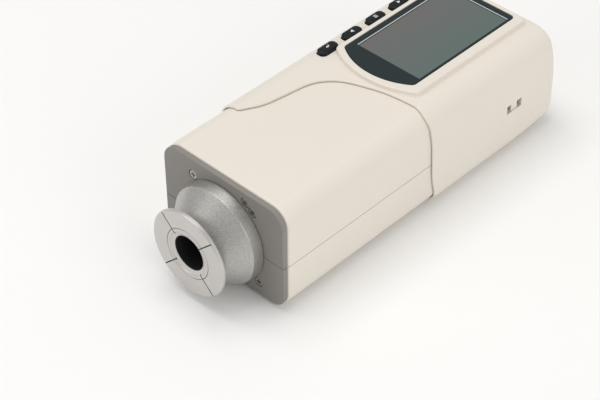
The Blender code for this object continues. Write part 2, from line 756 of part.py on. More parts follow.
def socket(top):
    """The charging and data socket, its mouth set a little back from the rear wall."""
    outline = rounded_outline(SOCKET_WIDTH, SOCKET_HEIGHT, SOCKET_HEIGHT / 4, 2)
    shell = prism("usb_socket", outline, 0, SOCKET_LENGTH)
    # Rear of the shell looks along +Y
    turn = Matrix.Rotation(-math.pi / 2, 4, "X")
    shell.transform(turn)
    end = BODY_LENGTH - SOCKET_SETBACK
    where = (0, FRONT_Y + end - SOCKET_LENGTH, top + SOCKET_HEIGHT / 2)
    made = place("usb_socket", shell, steel(), where)
    inner = rounded_outline(SOCKET_WIDTH - 2 * SOCKET_WALL, SOCKET_HEIGHT - 2 * SOCKET_WALL, SOCKET_HEIGHT / 5, 2)
    hollow = prism("socket_hollow", inner, 2 * SOCKET_WALL, SOCKET_LENGTH + OVERRUN)
    hollow.transform(turn)
    cut(made, helper("socket_hollow", hollow, where))


def battery():
    size = (BATTERY_WIDTH, BATTERY_LENGTH, BATTERY_HEIGHT)
    low = COVER_THICKNESS + GAP
    outline = rounded_outline(size[0], size[1], BATTERY_HEIGHT / 5, 3)
    place("battery_pack", prism("battery_pack", outline, 0, BATTERY_HEIGHT), battery_wrap(),
          (0, FRONT_Y + BAY_DEPTH, low))
    width, length = bay_size(BAY_RIM - GAP)
    outline = rounded_outline(width, length, COVER_RADIUS)
    cover = place("battery_cover", prism("battery_cover", outline, 0, COVER_THICKNESS), cream_plastic(),
                  (0, FRONT_Y + BAY_DEPTH, 0))
    mesh = screw_mesh("cover_screw", COVER_SCREW_LENGTH, COVER_SCREW_HEAD, COVER_SCREW_HEAD_HEIGHT,
                      COVER_SCREW_SHANK, True)
    for k, (x, depth) in enumerate(cover_screw_places()):
        cut(cover, cover_bore(f"cover_bore_{k}", x, depth, COVER_THICKNESS + OVERRUN))
        place(f"cover_screw_{k + 1}", mesh, None, (x, FRONT_Y + depth, GAP), None, (math.pi, 0, 0))


def cover_screw_places():
    reach = BATTERY_LENGTH / 2 + GAP + BAY_RIM / 2
    return [(0, BAY_DEPTH - reach), (0, BAY_DEPTH + reach)]


def cover_bore(name, x, depth, high):
    head, shank = COVER_SCREW_HEAD + GAP, COVER_SCREW_SHANK + GAP
    step = GAP + COVER_SCREW_HEAD_HEIGHT + GAP
    profile = [(0, -OVERRUN), (head, -OVERRUN), (head, GAP), (shank, step), (shank, high), (0, high)]
    return helper(name, turned(name, profile, SMALL_SIDES), (x, FRONT_Y + depth, 0))


# Head housing

HEAD_EDGE = 0.0005
LIP = HEAD_STEP - GAP
TAIL_DEPTH = 0.15
END_SIDE_RADIUS = 0.0084
END_TOP_RADIUS = 0.0045
HEAD_LEAN = 0.0098
HEAD_LEAN_FROM = 0.0213
TAIL_RISE = 0.0035
END_STEPS = 5
CAP_INSET_SHARES = (0.35, 0.7)

SCREEN_WIDTH = 0.0366
SCREEN_LENGTH = 0.061
SCREEN_START = 0.1018
SCREEN_BORDER = 0.0007
GLASS_MARGIN = 0.0019
GLASS_WIDTH = SCREEN_WIDTH + 2 * GLASS_MARGIN
PAD_MARGIN = 0.0045
PAD_WIDTH = GLASS_WIDTH + 2 * PAD_MARGIN
PAD_CENTRE = 0.0003
PAD_FRONT = 0.0859
PAD_SAGITTA = 0.0075
PAD_REAR = 0.1693
PAD_RADIUS = 0.004
PAD_RAISE = 0.0025
PAD_FILLET = 0.0014
PAD_ROUND = 0.0008
GLASS_CENTRE = -0.0008
GLASS_FRONT = 0.0901
GLASS_SAGITTA = 0.0068
GLASS_REAR = 0.1658
GLASS_RADIUS = 0.0022
GLASS_THICKNESS = 0.0014
GLASS_SINK = 0.0002
LCD_FLANGE = 0.0022
LCD_FLANGE_HEIGHT = 0.0034
DISPLAY_BOARD_INSET = 0.0051
DISPLAY_BOARD_WIDTH = 2 * (HEAD_HALF - DISPLAY_BOARD_INSET)
DISPLAY_BOARD_START = 0.0885
DISPLAY_BOARD_END = 0.1655
DISPLAY_BOSS_INSET = 0.006
DISPLAY_BOSS_SIDE = HEAD_HALF - DISPLAY_BOSS_INSET
DISPLAY_BOSS_DEPTHS = (0.1161, 0.1608)
DISPLAY_BOSS_RADIUS = 0.0014
SLOT_START = 0.1428
SLOT_LENGTH = 0.0101
SLOT_LOW = 0.0241
SLOT_HEIGHT = 0.0046
SLOT_BAR = 0.0043
SLOT_BAR_START = 0.0035
SLOT_BAR_SINK = 0.0007

KEY_FIRST = 0.0922
KEY_PITCH = 0.0158
KEY_LENGTH = 0.011
KEY_WIDTH = 0.0052
KEY_SIDE = PAD_CENTRE - PAD_WIDTH / 2 - KEY_WIDTH / 2
KEY_PROUD = 0.0017
KEY_FLANGE = 0.0009
KEY_FLANGE_HEIGHT = 0.0007
SWITCH_SIDE = 0.0042
SWITCH_HEIGHT = 0.0014
KEY_SWITCH_HEIGHT = LCD_FLANGE_HEIGHT - KEY_FLANGE_HEIGHT - KEY_TRAVEL - GAP

BUTTON_DEPTH = 0.058
BUTTON_HEIGHT = 0.0345
BUTTON_LENGTH = 0.024
BUTTON_WIDTH = 0.012
BUTTON_SINK = 0.0003
BUTTON_FLANGE = 0.0012
BUTTON_FLANGE_HEIGHT = 0.0009
BUTTON_DISH = 0.003
BUTTON_DISH_DEPTH = 0.0006
BUTTON_TRAVEL = 0.0008
BUTTON_BOARD_LENGTH = 0.036
BUTTON_BOARD_WIDTH = 0.012
BUTTON_POST_RADIUS = 0.0016

POWER_DEPTH = 0.12
POWER_HEIGHT = 0.0235
POWER_KNOB = 0.0045
POWER_KNOB_HEIGHT = 0.004
POWER_TRAVEL = 0.003
POWER_SINK = 0.0002
POWER_PLATE_THICKNESS = 0.0008
POWER_PLATE_MARGIN = 0.001
POWER_BODY_LENGTH = 0.014
POWER_BODY_HEIGHT = 0.0065
POWER_BODY_DEPTH = 0.0045
POWER_DISH = 0.0015
POWER_DISH_DEPTH = 0.0005


def bend_tail(x, depth, z):
    """Bends a point of the straight head into its tail: the floor rises and the rear face leans forward."""
    share = max(0, (depth - TAIL_DEPTH) / (BODY_LENGTH - TAIL_DEPTH))
    z += TAIL_RISE * share**2 * (1 - z / HEAD_HIGH)
    lean = max(0, (z - HEAD_LEAN_FROM) / (HEAD_HIGH - HEAD_LEAN_FROM))
    return x, FRONT_Y + depth - HEAD_LEAN * share**2 * lean**2, z


def end_radius(nx, nz, inset):
    """Radius of the head's rear edge for a column, less for the inner skin."""
    up = END_TOP_RADIUS if nz > 0 else END_SIDE_RADIUS
    return END_SIDE_RADIUS * nx**2 + up * nz**2 - inset * (1 - 1 / 5)


def head_rings(columns, inset):
    """Rings of one skin from its straight part to the middle of the rear face."""
    rings = []
    for k in range(END_STEPS + 1):
        turn = k / END_STEPS * math.pi / 2
        ring = []
        for x, z, nx, nz in columns:
            radius = end_radius(nx, nz, inset)
            drop = inset + radius * (1 - math.cos(turn))
            depth = BODY_LENGTH - inset - radius * (1 - math.sin(turn))
            ring.append(bend_tail(x - nx * drop, depth, z - nz * drop))
        rings.append(ring)
    last = []
    for x, z, nx, nz in columns:
        drop = inset + end_radius(nx, nz, inset)
        last.append((x - nx * drop, z - nz * drop))
    middle = AXIS_Z
    for share in CAP_INSET_SHARES:
        ring = []
        for x, z in last:
            ring.append(bend_tail(x * (1 - share), BODY_LENGTH - inset, z + (middle - z) * share))
        rings.append(ring)
    return rings


def head_skin(name):
    """The wrapped head: its front edge follows the wave, its rear is closed."""
    columns = section(HEAD_HALF, 0, HEAD_HIGH, HEAD_LOW_RADIUS, HEAD_TOP_RADIUS)
    seams = [seam_depth(x, z) for x, z, nx, nz in columns]

    def ring(inset, depths):
        return [bend_tail(x - nx * inset, d, z - nz * inset) for (x, z, nx, nz), d in zip(columns, depths)]

    joint = SPIGOT_DEPTH + GAP
    outer = [ring(LIP - OVERRUN / 4, seams), ring(HEAD_EDGE, seams), ring(0, [s + HEAD_EDGE for s in seams])]
    outer += [ring(0, [s + (joint - s) / 2 for s in seams]), ring(0, [joint] * len(columns))]
    outer += [ring(0, [TAIL_DEPTH] * len(columns))] + head_rings(columns, 0)
    inner = [ring(LIP, [s + HEAD_EDGE for s in seams]), ring(LIP, [joint] * len(columns))]
    inner += [ring(WALL, [joint] * len(columns)), ring(WALL, [TAIL_DEPTH] * len(columns))] + head_rings(columns, WALL)
    work = bmesh.new()
    rows = [[work.verts.new(point) for point in points] for points in inner[::-1] + outer]
    for first, second in zip(rows, rows[1:]):
        for k in range(len(first)):
            n = (k + 1) % len(first)
            work.faces.new((first[k], first[n], second[n], second[k]))
    for row, at in ((rows[0], BODY_LENGTH - WALL), (rows[-1], BODY_LENGTH)):
        centre = work.verts.new(bend_tail(0, at, AXIS_Z))
        for k in range(len(row)):
            work.faces.new((row[k], row[(k + 1) % len(row)], centre))
    return finish_mesh(name, work, ROUND_EDGE)


def arched_outline(width, centre, front, sagitta, rear, radius, grow=0, steps=8):
    """An outline of (x, y) with a bowed front edge and round corners, grown outwards by a margin."""
    half = width / 2
    bow = (half**2 + sagitta**2) / (2 * sagitta) + grow
    half += grow
    radius = radius + grow
    middle = FRONT_Y + front - grow + bow
    # Front corners: arcs that touch the bow and the straight sides
    reach = bow - radius
    turn = math.asin((half - radius) / reach)
    fillet_y = middle - reach * math.cos(turn)
    front_arc = [(centre + bow * math.sin(a), middle - bow * math.cos(a))
                 for a in [-turn + 2 * turn * k / steps for k in range(1, steps)]]
    quarter = math.pi / 2
    x = half - radius
    back = FRONT_Y + rear + grow - radius
    points = arc(centre - x, fillet_y, radius, -math.pi, -quarter - turn, 3)
    points += front_arc
    points += arc(centre + x, fillet_y, radius, -quarter + turn, 0, 3)
    points += arc(centre + x, back, radius, 0, quarter, 3)
    points += arc(centre - x, back, radius, quarter, 2 * quarter, 3)
    return points


def pad_outline(grow):
    return arched_outline(PAD_WIDTH, PAD_CENTRE, PAD_FRONT, PAD_SAGITTA, PAD_REAR, PAD_RADIUS, grow)


def glass_outline(grow):
    return arched_outline(GLASS_WIDTH, GLASS_CENTRE, GLASS_FRONT, GLASS_SAGITTA, GLASS_REAR, GLASS_RADIUS, grow)


PAD_TOP = HEAD_HIGH + PAD_RAISE
GLASS_LOW = PAD_TOP - GLASS_SINK - GLASS_THICKNESS
CEILING = HEAD_HIGH - WALL
SCREEN_TOP = GLASS_LOW - GAP
LCD_LOW = CEILING - GAP - LCD_FLANGE_HEIGHT
DISPLAY_BOARD_HIGH = LCD_LOW - GAP


def display_pad():
    """The raised surround of the screen, with a hollow fillet at its foot and a rounded upper edge."""
    rings = []
    base = HEAD_HIGH - WALL / 2
    steps = 3
    rings.append([(x, y, base) for x, y in pad_outline(0)])
    rings.append([(x, y, HEAD_HIGH - OVERRUN / 6) for x, y in pad_outline(0)])
    for k in range(steps + 1):
        turn = k / steps * math.pi / 2
        grow = -PAD_FILLET * math.sin(turn) / 2
        rise = PAD_FILLET * (1 - math.cos(turn))
        rings.append([(x, y, HEAD_HIGH + OVERRUN / 6 + rise) for x, y in pad_outline(grow)])
    for k in range(1, steps + 1):
        turn = k / steps * math.pi / 2
        grow = -PAD_FILLET / 2 - PAD_ROUND * (1 - math.cos(turn))
        rise = PAD_RAISE - PAD_ROUND * (1 - math.sin(turn))
        rings.append([(x, y, HEAD_HIGH + rise) for x, y in pad_outline(grow)])
    return helper("display_pad", loft("display_pad", rings))


def display_cuts():
    recess = prism("glass_recess", glass_outline(GAP), GLASS_LOW - GAP, PAD_TOP + OVERRUN)
    width = SCREEN_WIDTH + 2 * (SCREEN_BORDER + GAP)
    length = SCREEN_LENGTH + 2 * (SCREEN_BORDER + GAP)
    middle = FRONT_Y + SCREEN_START + SCREEN_LENGTH / 2
    through = box("screen_opening", (width, length, PAD_RAISE + WALL + 2 * OVERRUN),
                  (0, middle, HEAD_HIGH - WALL / 2 + PAD_RAISE / 2))
    return helper("glass_recess", recess), helper("screen_opening", through)


def display_pieces():
    glass = prism("display_window", glass_outline(0), GLASS_LOW, GLASS_LOW + GLASS_THICKNESS)
    place("display_window", glass, clear_glass())
    middle = FRONT_Y + SCREEN_START + SCREEN_LENGTH / 2
    wide, long = SCREEN_WIDTH + 2 * SCREEN_BORDER, SCREEN_LENGTH + 2 * SCREEN_BORDER
    steps = (
        (wide + 2 * LCD_FLANGE, long + 2 * LCD_FLANGE, LCD_LOW),
        (wide + 2 * LCD_FLANGE, long + 2 * LCD_FLANGE, CEILING - GAP),
        (wide, long, CEILING - GAP),
        (wide, long, SCREEN_TOP),
    )
    rings = []
    for width, length, z in steps:
        x, y = width / 2, length / 2
        rings.append([(-x, -y, z), (x, -y, z), (x, y, z), (-x, y, z)])
    place("lcd_module", loft("lcd_module", rings, None), screen_grey(), (0, middle, 0))
    length = DISPLAY_BOARD_END - DISPLAY_BOARD_START
    board = box("display_board", (DISPLAY_BOARD_WIDTH, length, BOARD_THICKNESS))
    centre = FRONT_Y + DISPLAY_BOARD_START + length / 2
    place("display_board", board, board_green(), (0, centre, DISPLAY_BOARD_HIGH - BOARD_THICKNESS / 2))


def display_bosses():
    found = []
    for depth in DISPLAY_BOSS_DEPTHS:
        for side in (-1, 1):
            name = f"display_boss_{len(found)}"
            found.append(post(name, side * DISPLAY_BOSS_SIDE, depth, DISPLAY_BOARD_HIGH + GAP, CEILING - WALL / 4,
                              DISPLAY_BOSS_RADIUS))
    return found


def key_depth(k):
    return KEY_FIRST + KEY_PITCH * k


def stadium(length_x, length_y, steps=5):
    """A slot outline along its longer side, a little short of full round ends."""
    return rounded_outline(length_x, length_y, min(length_x, length_y) * 9 / 20, steps)


KEY_NAMES = ("key_enter", "key_down", "key_up", "key_menu")


def keys():
    """Four keys beside the screen. Each has its origin on the middle of its upper face."""
    high = HEAD_HIGH + KEY_PROUD
    flange_top = CEILING - GAP - high
    crown = KEY_PROUD / 3
    rings = []
    for grow, z in ((KEY_FLANGE, flange_top - KEY_FLANGE_HEIGHT), (KEY_FLANGE, flange_top), (0, flange_top),
                    (0, -crown), (-crown / 2, -crown / 3), (-crown * 3 / 2, 0)):
        rings.append([(x, y, z) for x, y in stadium(KEY_WIDTH + 2 * grow, KEY_LENGTH + 2 * grow)])
    mesh = loft("key", rings)
    switch = box("key_switch", (SWITCH_SIDE, SWITCH_SIDE, KEY_SWITCH_HEIGHT))
    middle = DISPLAY_BOARD_HIGH + GAP + KEY_SWITCH_HEIGHT / 2
    for k, name in enumerate(KEY_NAMES):
        y = FRONT_Y + key_depth(k)
        place(name, mesh, key_rubber(), (KEY_SIDE, y, high))
        place(f"key_switch_{k + 1}", switch, black_plastic(), (KEY_SIDE, y, middle))


def key_cuts():
    outline = stadium(KEY_WIDTH + 2 * GAP, KEY_LENGTH + 2 * GAP)
    mesh = prism("key_hole", outline, CEILING - HEAD_TOP_RADIUS / 2, HEAD_HIGH + OVERRUN)
    room = stadium(KEY_WIDTH + 2 * (KEY_FLANGE + GAP), KEY_LENGTH + 2 * (KEY_FLANGE + GAP))
    pocket = prism("key_room", room, CEILING - HEAD_TOP_RADIUS / 2, CEILING)
    found = []
    for k in range(len(KEY_NAMES)):
        where = (KEY_SIDE, FRONT_Y + key_depth(k), 0)
        found += [helper(f"key_hole_{k}", mesh, where), helper(f"key_room_{k}", pocket, where)]
    return found


def from_far_side(mesh):
    """Turns a piece made about +Z, with its outline's x along the body, to look along -X."""
    mesh.transform(Matrix(((0, 0, -1, 0), (-1, 0, 0, 0), (0, 1, 0, 0), (0, 0, 0, 1))))
    return mesh


def clear_roof(upper_shell):
    """Cuts the grip's roof away under the keys and the screen, behind the wave."""
    height = HEAD_TOP_RADIUS
    low = GRIP_HIGH - WALL - GRIP_TOP_RADIUS / 2
    margin = KEY_FLANGE + 2 * GAP
    key_start = KEY_FIRST - KEY_LENGTH / 2 - margin
    key_far, key_near = KEY_SIDE - KEY_WIDTH / 2 - margin, KEY_SIDE + KEY_WIDTH / 2 + margin
    screen_start = SCREEN_START - SCREEN_BORDER - LCD_FLANGE - GAP
    screen_near = SCREEN_WIDTH / 2 + SCREEN_BORDER + LCD_FLANGE + 2 * GAP
    rear = SPIGOT_DEPTH + OVERRUN
    spans = ((key_far, key_near, key_start), (key_near - OVERRUN, screen_near, screen_start))
    for k, (far, near, start) in enumerate(spans):
        centre = ((far + near) / 2, FRONT_Y + (start + rear) / 2, low + height / 2)
        cut(upper_shell, helper(f"roof_cut_{k}", box(f"roof_cut_{k}", (near - far, rear - start, height)), centre))


def measure_button(head, upper_shell):
    """The trigger on the far side. Its origin is on the middle of its outer face."""
    face = HEAD_HALF - BUTTON_SINK - BUTTON_DISH_DEPTH
    where = (-face, FRONT_Y + BUTTON_DEPTH, BUTTON_HEIGHT)
    inner_wall = GRIP_HALF - WALL
    flange_top = inner_wall - GAP - face
    crown = BUTTON_SINK
    rings = []
    for grow, z in ((BUTTON_FLANGE, flange_top - BUTTON_FLANGE_HEIGHT), (BUTTON_FLANGE, flange_top), (0, flange_top),
                    (0, -crown), (-crown, 0)):
        rings.append([(x, y, z) for x, y in stadium(BUTTON_LENGTH + 2 * grow, BUTTON_WIDTH + 2 * grow, 6)])
    place("measure_button", from_far_side(loft("measure_button", rings)), cream_plastic(), where)
    outline = stadium(BUTTON_LENGTH + 2 * GAP, BUTTON_WIDTH + 2 * GAP, 6)
    through = from_far_side(prism("button_hole", outline, inner_wall - WALL, HEAD_HALF + OVERRUN))
    hole = helper("button_hole", through, (0, where[1], where[2]))
    dish = stadium(BUTTON_LENGTH + 2 * BUTTON_DISH, BUTTON_WIDTH + 2 * BUTTON_DISH, 6)
    small = stadium(BUTTON_LENGTH + 2 * GAP, BUTTON_WIDTH + 2 * GAP, 6)
    rings = [[(x, y, HEAD_HALF - BUTTON_DISH_DEPTH) for x, y in small], [(x, y, HEAD_HALF) for x, y in dish],
             [(x, y, HEAD_HALF + OVERRUN) for x, y in dish]]
    hollow = helper("button_dish", from_far_side(loft("button_dish", rings)), (0, where[1], where[2]))
    cut(head, hole, hollow)
    cut(upper_shell, hole)
    # Its switch and the board behind it
    top = inner_wall - GAP - BUTTON_FLANGE_HEIGHT - BUTTON_TRAVEL - GAP
    switch = from_far_side(box("measure_switch", (SWITCH_SIDE, SWITCH_SIDE, SWITCH_HEIGHT)))
    place("measure_switch", switch, black_plastic(), (-top + SWITCH_HEIGHT / 2, where[1], where[2]))
    back = top - SWITCH_HEIGHT - GAP
    board = from_far_side(box("measure_board", (BUTTON_BOARD_LENGTH, BUTTON_BOARD_WIDTH, BOARD_THICKNESS)))
    place("measure_board", board, board_green(), (-back + BOARD_THICKNESS / 2, where[1], where[2]))
    for side in (-1, 1):
        name = f"button_post_{side}"
        low, high = back + GAP, inner_wall + WALL / 2
        profile = [(0, low), (BUTTON_POST_RADIUS, low), (BUTTON_POST_RADIUS, high), (0, high)]
        pin = from_far_side(turned(name, profile, SMALL_SIDES))
        away = BUTTON_BOARD_LENGTH / 2 - BUTTON_POST_RADIUS
        join(upper_shell, helper(name, pin, (0, where[1] + side * away, where[2])))


def power_switch(head):
    """A small slide switch on the far side. The knob's origin is on the middle of its outer face, at off."""
    middle = FRONT_Y + POWER_DEPTH
    knob_y = middle - POWER_TRAVEL / 2
    face = HEAD_HALF - POWER_SINK
    inner_wall = HEAD_HALF - WALL
    plate_top = inner_wall - GAP - face
    margin = POWER_PLATE_MARGIN
    rings = []
    for grow, z in ((margin, plate_top - POWER_PLATE_THICKNESS), (margin, plate_top), (0, plate_top), (0, -POWER_SINK),
                    (-POWER_SINK, 0)):
        half_x, half_y = POWER_KNOB / 2 + grow, POWER_KNOB_HEIGHT / 2 + grow
        rings.append([(-half_x, -half_y, z), (half_x, -half_y, z), (half_x, half_y, z), (-half_x, half_y, z)])
    knob = from_far_side(loft("power_slider", rings, None))
    place("power_slider", knob, black_plastic(), (-face, knob_y, POWER_HEIGHT))
    size = (POWER_KNOB + POWER_TRAVEL + 2 * GAP, POWER_KNOB_HEIGHT + 2 * GAP)
    low, high = inner_wall - OVERRUN, HEAD_HALF + OVERRUN
    slot = from_far_side(prism("power_slot", rounded_outline(*size, GAP), low, high))
    dish = rounded_outline(size[0] + 2 * POWER_DISH, size[1] + 2 * POWER_DISH, POWER_DISH)
    hollow = from_far_side(prism("power_dish", dish, HEAD_HALF - POWER_DISH_DEPTH, high))
    where = (0, middle, POWER_HEIGHT)
    cut(head, helper("power_slot", slot, where), helper("power_dish", hollow, where))
    body_top = inner_wall - GAP - POWER_PLATE_THICKNESS - GAP
    body = from_far_side(box("power_switch_body", (POWER_BODY_LENGTH, POWER_BODY_HEIGHT, POWER_BODY_DEPTH)))
    place("power_switch_body", body, steel(), (-body_top + POWER_BODY_DEPTH / 2, middle, POWER_HEIGHT))


def lanyard_cuts():
    """Two holes through the near wall with a sunk bar between them."""
    outer = HEAD_HALF + OVERRUN
    through = WALL + 2 * OVERRUN
    middle_z = SLOT_LOW + SLOT_HEIGHT / 2
    rear_start = SLOT_BAR_START + SLOT_BAR
    spans = ((0, SLOT_BAR_START, through), (rear_start, SLOT_LENGTH, through),
             (SLOT_BAR_START - OVERRUN, rear_start + OVERRUN, OVERRUN + SLOT_BAR_SINK))
    found = []
    for k, (start, end, deep) in enumerate(spans):
        centre = (outer - deep / 2, FRONT_Y + SLOT_START + (start + end) / 2, middle_z)
        found.append(helper(f"lanyard_cut_{k}", box(f"lanyard_cut_{k}", (deep, end - start, SLOT_HEIGHT)), centre))
    return found


def bay_pieces(head):
    """A rim round the battery opening in the floor, the cover's recess and the cover screws' bores."""
    width, length = bay_size(BAY_RIM + WALL / 2)
    rim = prism("bay_rim", rounded_outline(width, length, COVER_RADIUS), WALL / 2, BAY_RIM_HEIGHT)
    where = (0, FRONT_Y + BAY_DEPTH, 0)
    join(head, helper("bay_rim", rim, where))
    width, length = bay_size(BAY_RIM)
    recess = prism("bay_recess", rounded_outline(width, length, COVER_RADIUS + GAP), -OVERRUN, COVER_THICKNESS + GAP)
    width, length = bay_size(0)
    opening = prism("bay_opening", rounded_outline(width, length, COVER_RADIUS), -OVERRUN, BAY_RIM_HEIGHT + OVERRUN)
    cut(head, helper("bay_recess", recess, where), helper("bay_opening", opening, where))
    for k, (x, depth) in enumerate(cover_screw_places()):
        top = GAP + COVER_SCREW_LENGTH + GAP
        radius = COVER_SCREW_SHANK + GAP
        cut(head, bore(f"bay_bore_{k}", x, depth, [(radius, -OVERRUN), (radius, top)]))


def socket_cut():
    width, height = SOCKET_WIDTH + 2 * GAP, SOCKET_HEIGHT + 2 * GAP
    top = BOARD_LOW + MAIN_BOARD_THICKNESS + GAP
    length = WALL + 4 * OVERRUN
    centre = (0, FRONT_Y + BODY_LENGTH - WALL / 2, top + SOCKET_HEIGHT / 2)
    return helper("socket_cut", box("socket_cut", (width, length, height)), centre)


def head_housing(upper_shell):
    head = place("head_housing", head_skin("head_housing"), cream_plastic())
    join(head, display_pad(), *display_bosses())
    for side in (-1, 1):
        join(head, board_boss(f"rear_boss_{side}", side, REAR_BOSS_DEPTH))
    bay_pieces(head)
    cut(head, *display_cuts(), *key_cuts(), *lanyard_cuts(), socket_cut())
    clear_roof(upper_shell)
    measure_button(head, upper_shell)
    power_switch(head)
    for k, (x, depth) in enumerate(boss_places()):
        if depth == BOSS_DEPTHS["rear"]:
            radius = SCREW_HEAD + GAP
            cut(head, bore(f"head_seat_{k}", x, depth, [(radius, -OVERRUN), (radius, GRIP_LOW + WALL)]))
    return head


def build():
    upper_shell = grip_half("grip_upper_shell", True)
    lower_shell = grip_half("grip_lower_shell", False)
    add_case_bosses(upper_shell, lower_shell)
    add_board_bosses(lower_shell)
    case_screws()
    upper_plate = end_plate("end_plate_upper", True)
    lower_plate = end_plate("end_plate_lower", False)
    plate_screws(upper_plate, lower_plate)
    measuring_dome()
    locating_disc()
    aperture_ring()
    sphere_half("sphere_front", True)
    rear_half = sphere_half("sphere_rear", False)
    sensor_group(rear_half)
    lamp_group(rear_half)
    optics_bracket()
    main_board()
    battery()
    display_pieces()
    keys()
    head_housing(upper_shell)


build()
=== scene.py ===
import json
import math

import bmesh
import bpy
from mathutils import Matrix, Vector

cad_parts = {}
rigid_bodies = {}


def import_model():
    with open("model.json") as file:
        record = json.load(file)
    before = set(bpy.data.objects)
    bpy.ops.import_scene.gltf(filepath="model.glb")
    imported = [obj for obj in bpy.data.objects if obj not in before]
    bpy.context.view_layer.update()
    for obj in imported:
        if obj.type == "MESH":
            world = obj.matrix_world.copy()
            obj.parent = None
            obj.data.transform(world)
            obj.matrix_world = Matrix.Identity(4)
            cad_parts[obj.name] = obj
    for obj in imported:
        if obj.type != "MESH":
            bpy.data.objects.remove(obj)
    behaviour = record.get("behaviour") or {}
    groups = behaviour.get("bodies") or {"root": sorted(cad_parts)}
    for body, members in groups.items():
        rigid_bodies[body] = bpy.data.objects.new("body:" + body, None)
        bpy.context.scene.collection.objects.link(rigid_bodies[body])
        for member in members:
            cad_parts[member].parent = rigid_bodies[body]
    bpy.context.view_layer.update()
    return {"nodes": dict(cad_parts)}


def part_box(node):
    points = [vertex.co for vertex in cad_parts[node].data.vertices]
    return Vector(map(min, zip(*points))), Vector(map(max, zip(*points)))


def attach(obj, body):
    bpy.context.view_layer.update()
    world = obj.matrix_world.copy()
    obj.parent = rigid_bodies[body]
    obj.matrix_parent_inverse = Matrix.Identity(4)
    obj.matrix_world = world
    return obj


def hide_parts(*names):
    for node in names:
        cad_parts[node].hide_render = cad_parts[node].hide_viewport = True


for old in list(bpy.data.objects):
    bpy.data.objects.remove(old)

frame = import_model()
nodes = frame["nodes"]
print("frame loaded:", len(nodes), "nodes")

# Sizes that several pieces share. What the frame can tell is read from it.
gap = 0.0003
overrun = 0.0006
quarter = math.pi / 2
weldDistance = 0.000002
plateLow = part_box("end_plate_lower")[0]
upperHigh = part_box("grip_upper_shell")[1]
lowerLow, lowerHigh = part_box("grip_lower_shell")
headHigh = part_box("head_housing")[1]
discLow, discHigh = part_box("locating_disc")
body = {
    "frontY": plateLow.y,
    "length": headHigh.y - plateLow.y,
    "gripHalf": upperHigh.x,
    "gripLow": lowerLow.z,
    "gripHigh": upperHigh.z,
    "gripTopRadius": 0.009,
    "gripLowRadius": 0.0075,
    "spigotDepth": upperHigh.y - plateLow.y,
    "splitZ": lowerHigh.z + gap / 2,
    "headHalf": headHigh.x,
    "padTop": headHigh.z,
    "padRaise": 0.0025,
    "headStep": 0.0013,
    "wall": 0.0022,
    "axisZ": (discLow.z + discHigh.z) / 2,
    "reach": plateLow.y - discLow.y,
}
body["headHigh"] = body["padTop"] - body["padRaise"]
body["headTopRadius"] = body["gripTopRadius"] + body["headStep"]
body["headLowRadius"] = body["gripLowRadius"] + body["headStep"]


# Materials. All patterns read Object coordinates, so a scale of 1000 is about one feature per millimetre.
def addNode(tree, kind, values=None, links=None, **settings):
    made = tree.nodes.new(kind)
    for name, value in settings.items():
        setattr(made, name, value)
    for socket, value in (values or {}).items():
        made.inputs[socket].default_value = value
    for socket, source in (links or {}).items():
        tree.links.new(source, made.inputs[socket])
    return made


def startMaterial(name):
    made = bpy.data.materials.new(name)
    made.use_nodes = True
    tree = made.node_tree
    place = addNode(tree, "ShaderNodeTexCoord").outputs["Object"]
    return made, tree, tree.nodes["Principled BSDF"], place


def noise(tree, place, scale, detail=2.0, roughness=0.5):
    values = {"Scale": scale, "Detail": detail, "Roughness": roughness}
    return addNode(tree, "ShaderNodeTexNoise", values, {"Vector": place}).outputs["Fac"]


def mixColour(tree, factor, first, second):
    made = addNode(tree, "ShaderNodeMix", None, {"Factor": factor}, data_type="RGBA")
    for socket in made.inputs:
        if socket.type == "RGBA":
            socket.default_value = (*(first if socket.name == "A" else second), 1)
    return [out for out in made.outputs if out.type == "RGBA"][0]


def between(tree, factor, low, high, fromLow=0.3, fromHigh=0.7):
    values = {"From Min": fromLow, "From Max": fromHigh, "To Min": low, "To Max": high}
    return addNode(tree, "ShaderNodeMapRange", values, {"Value": factor}).outputs["Result"]


def addBump(tree, shader, height, strength, distance):
    values = {"Strength": strength, "Distance": distance}
    made = addNode(tree, "ShaderNodeBump", values, {"Height": height})
    tree.links.new(made.outputs["Normal"], shader.inputs["Normal"])


def grainedFinish(name, light, dark, roughness, grain, relief, metallic=0.0, coat=0.0, broad=22.0):
    # A finish with slow colour drift, a fine grain in its bump and uneven gloss
    made, tree, shader, place = startMaterial(name)
    tree.links.new(mixColour(tree, noise(tree, place, broad, 3), dark, light), shader.inputs["Base Color"])
    fine = noise(tree, place, grain, 3, 0.6)
    tree.links.new(between(tree, fine, roughness - 0.05, roughness + 0.05), shader.inputs["Roughness"])
    addBump(tree, shader, fine, 0.35, relief)
    shader.inputs["Metallic"].default_value = metallic
    shader.inputs["Coat Weight"].default_value = coat
    return made


def flakePaint(name, light, dark, roughness, metallic, flake):
    # Metallic paint: each flake has its own brightness and a slight tilt
    made, tree, shader, place = startMaterial(name)
    cells = addNode(tree, "ShaderNodeTexVoronoi", {"Scale": flake}, {"Vector": place})
    grey = addNode(tree, "ShaderNodeSeparateColor", None, {"Color": cells.outputs["Color"]}).outputs["Red"]
    tree.links.new(mixColour(tree, grey, dark, light), shader.inputs["Base Color"])
    soft = noise(tree, place, flake / 6, 3)
    tree.links.new(between(tree, soft, roughness - 0.06, roughness + 0.06), shader.inputs["Roughness"])
    addBump(tree, shader, grey, 0.2, 0.00002)
    shader.inputs["Metallic"].default_value = metallic
    return made


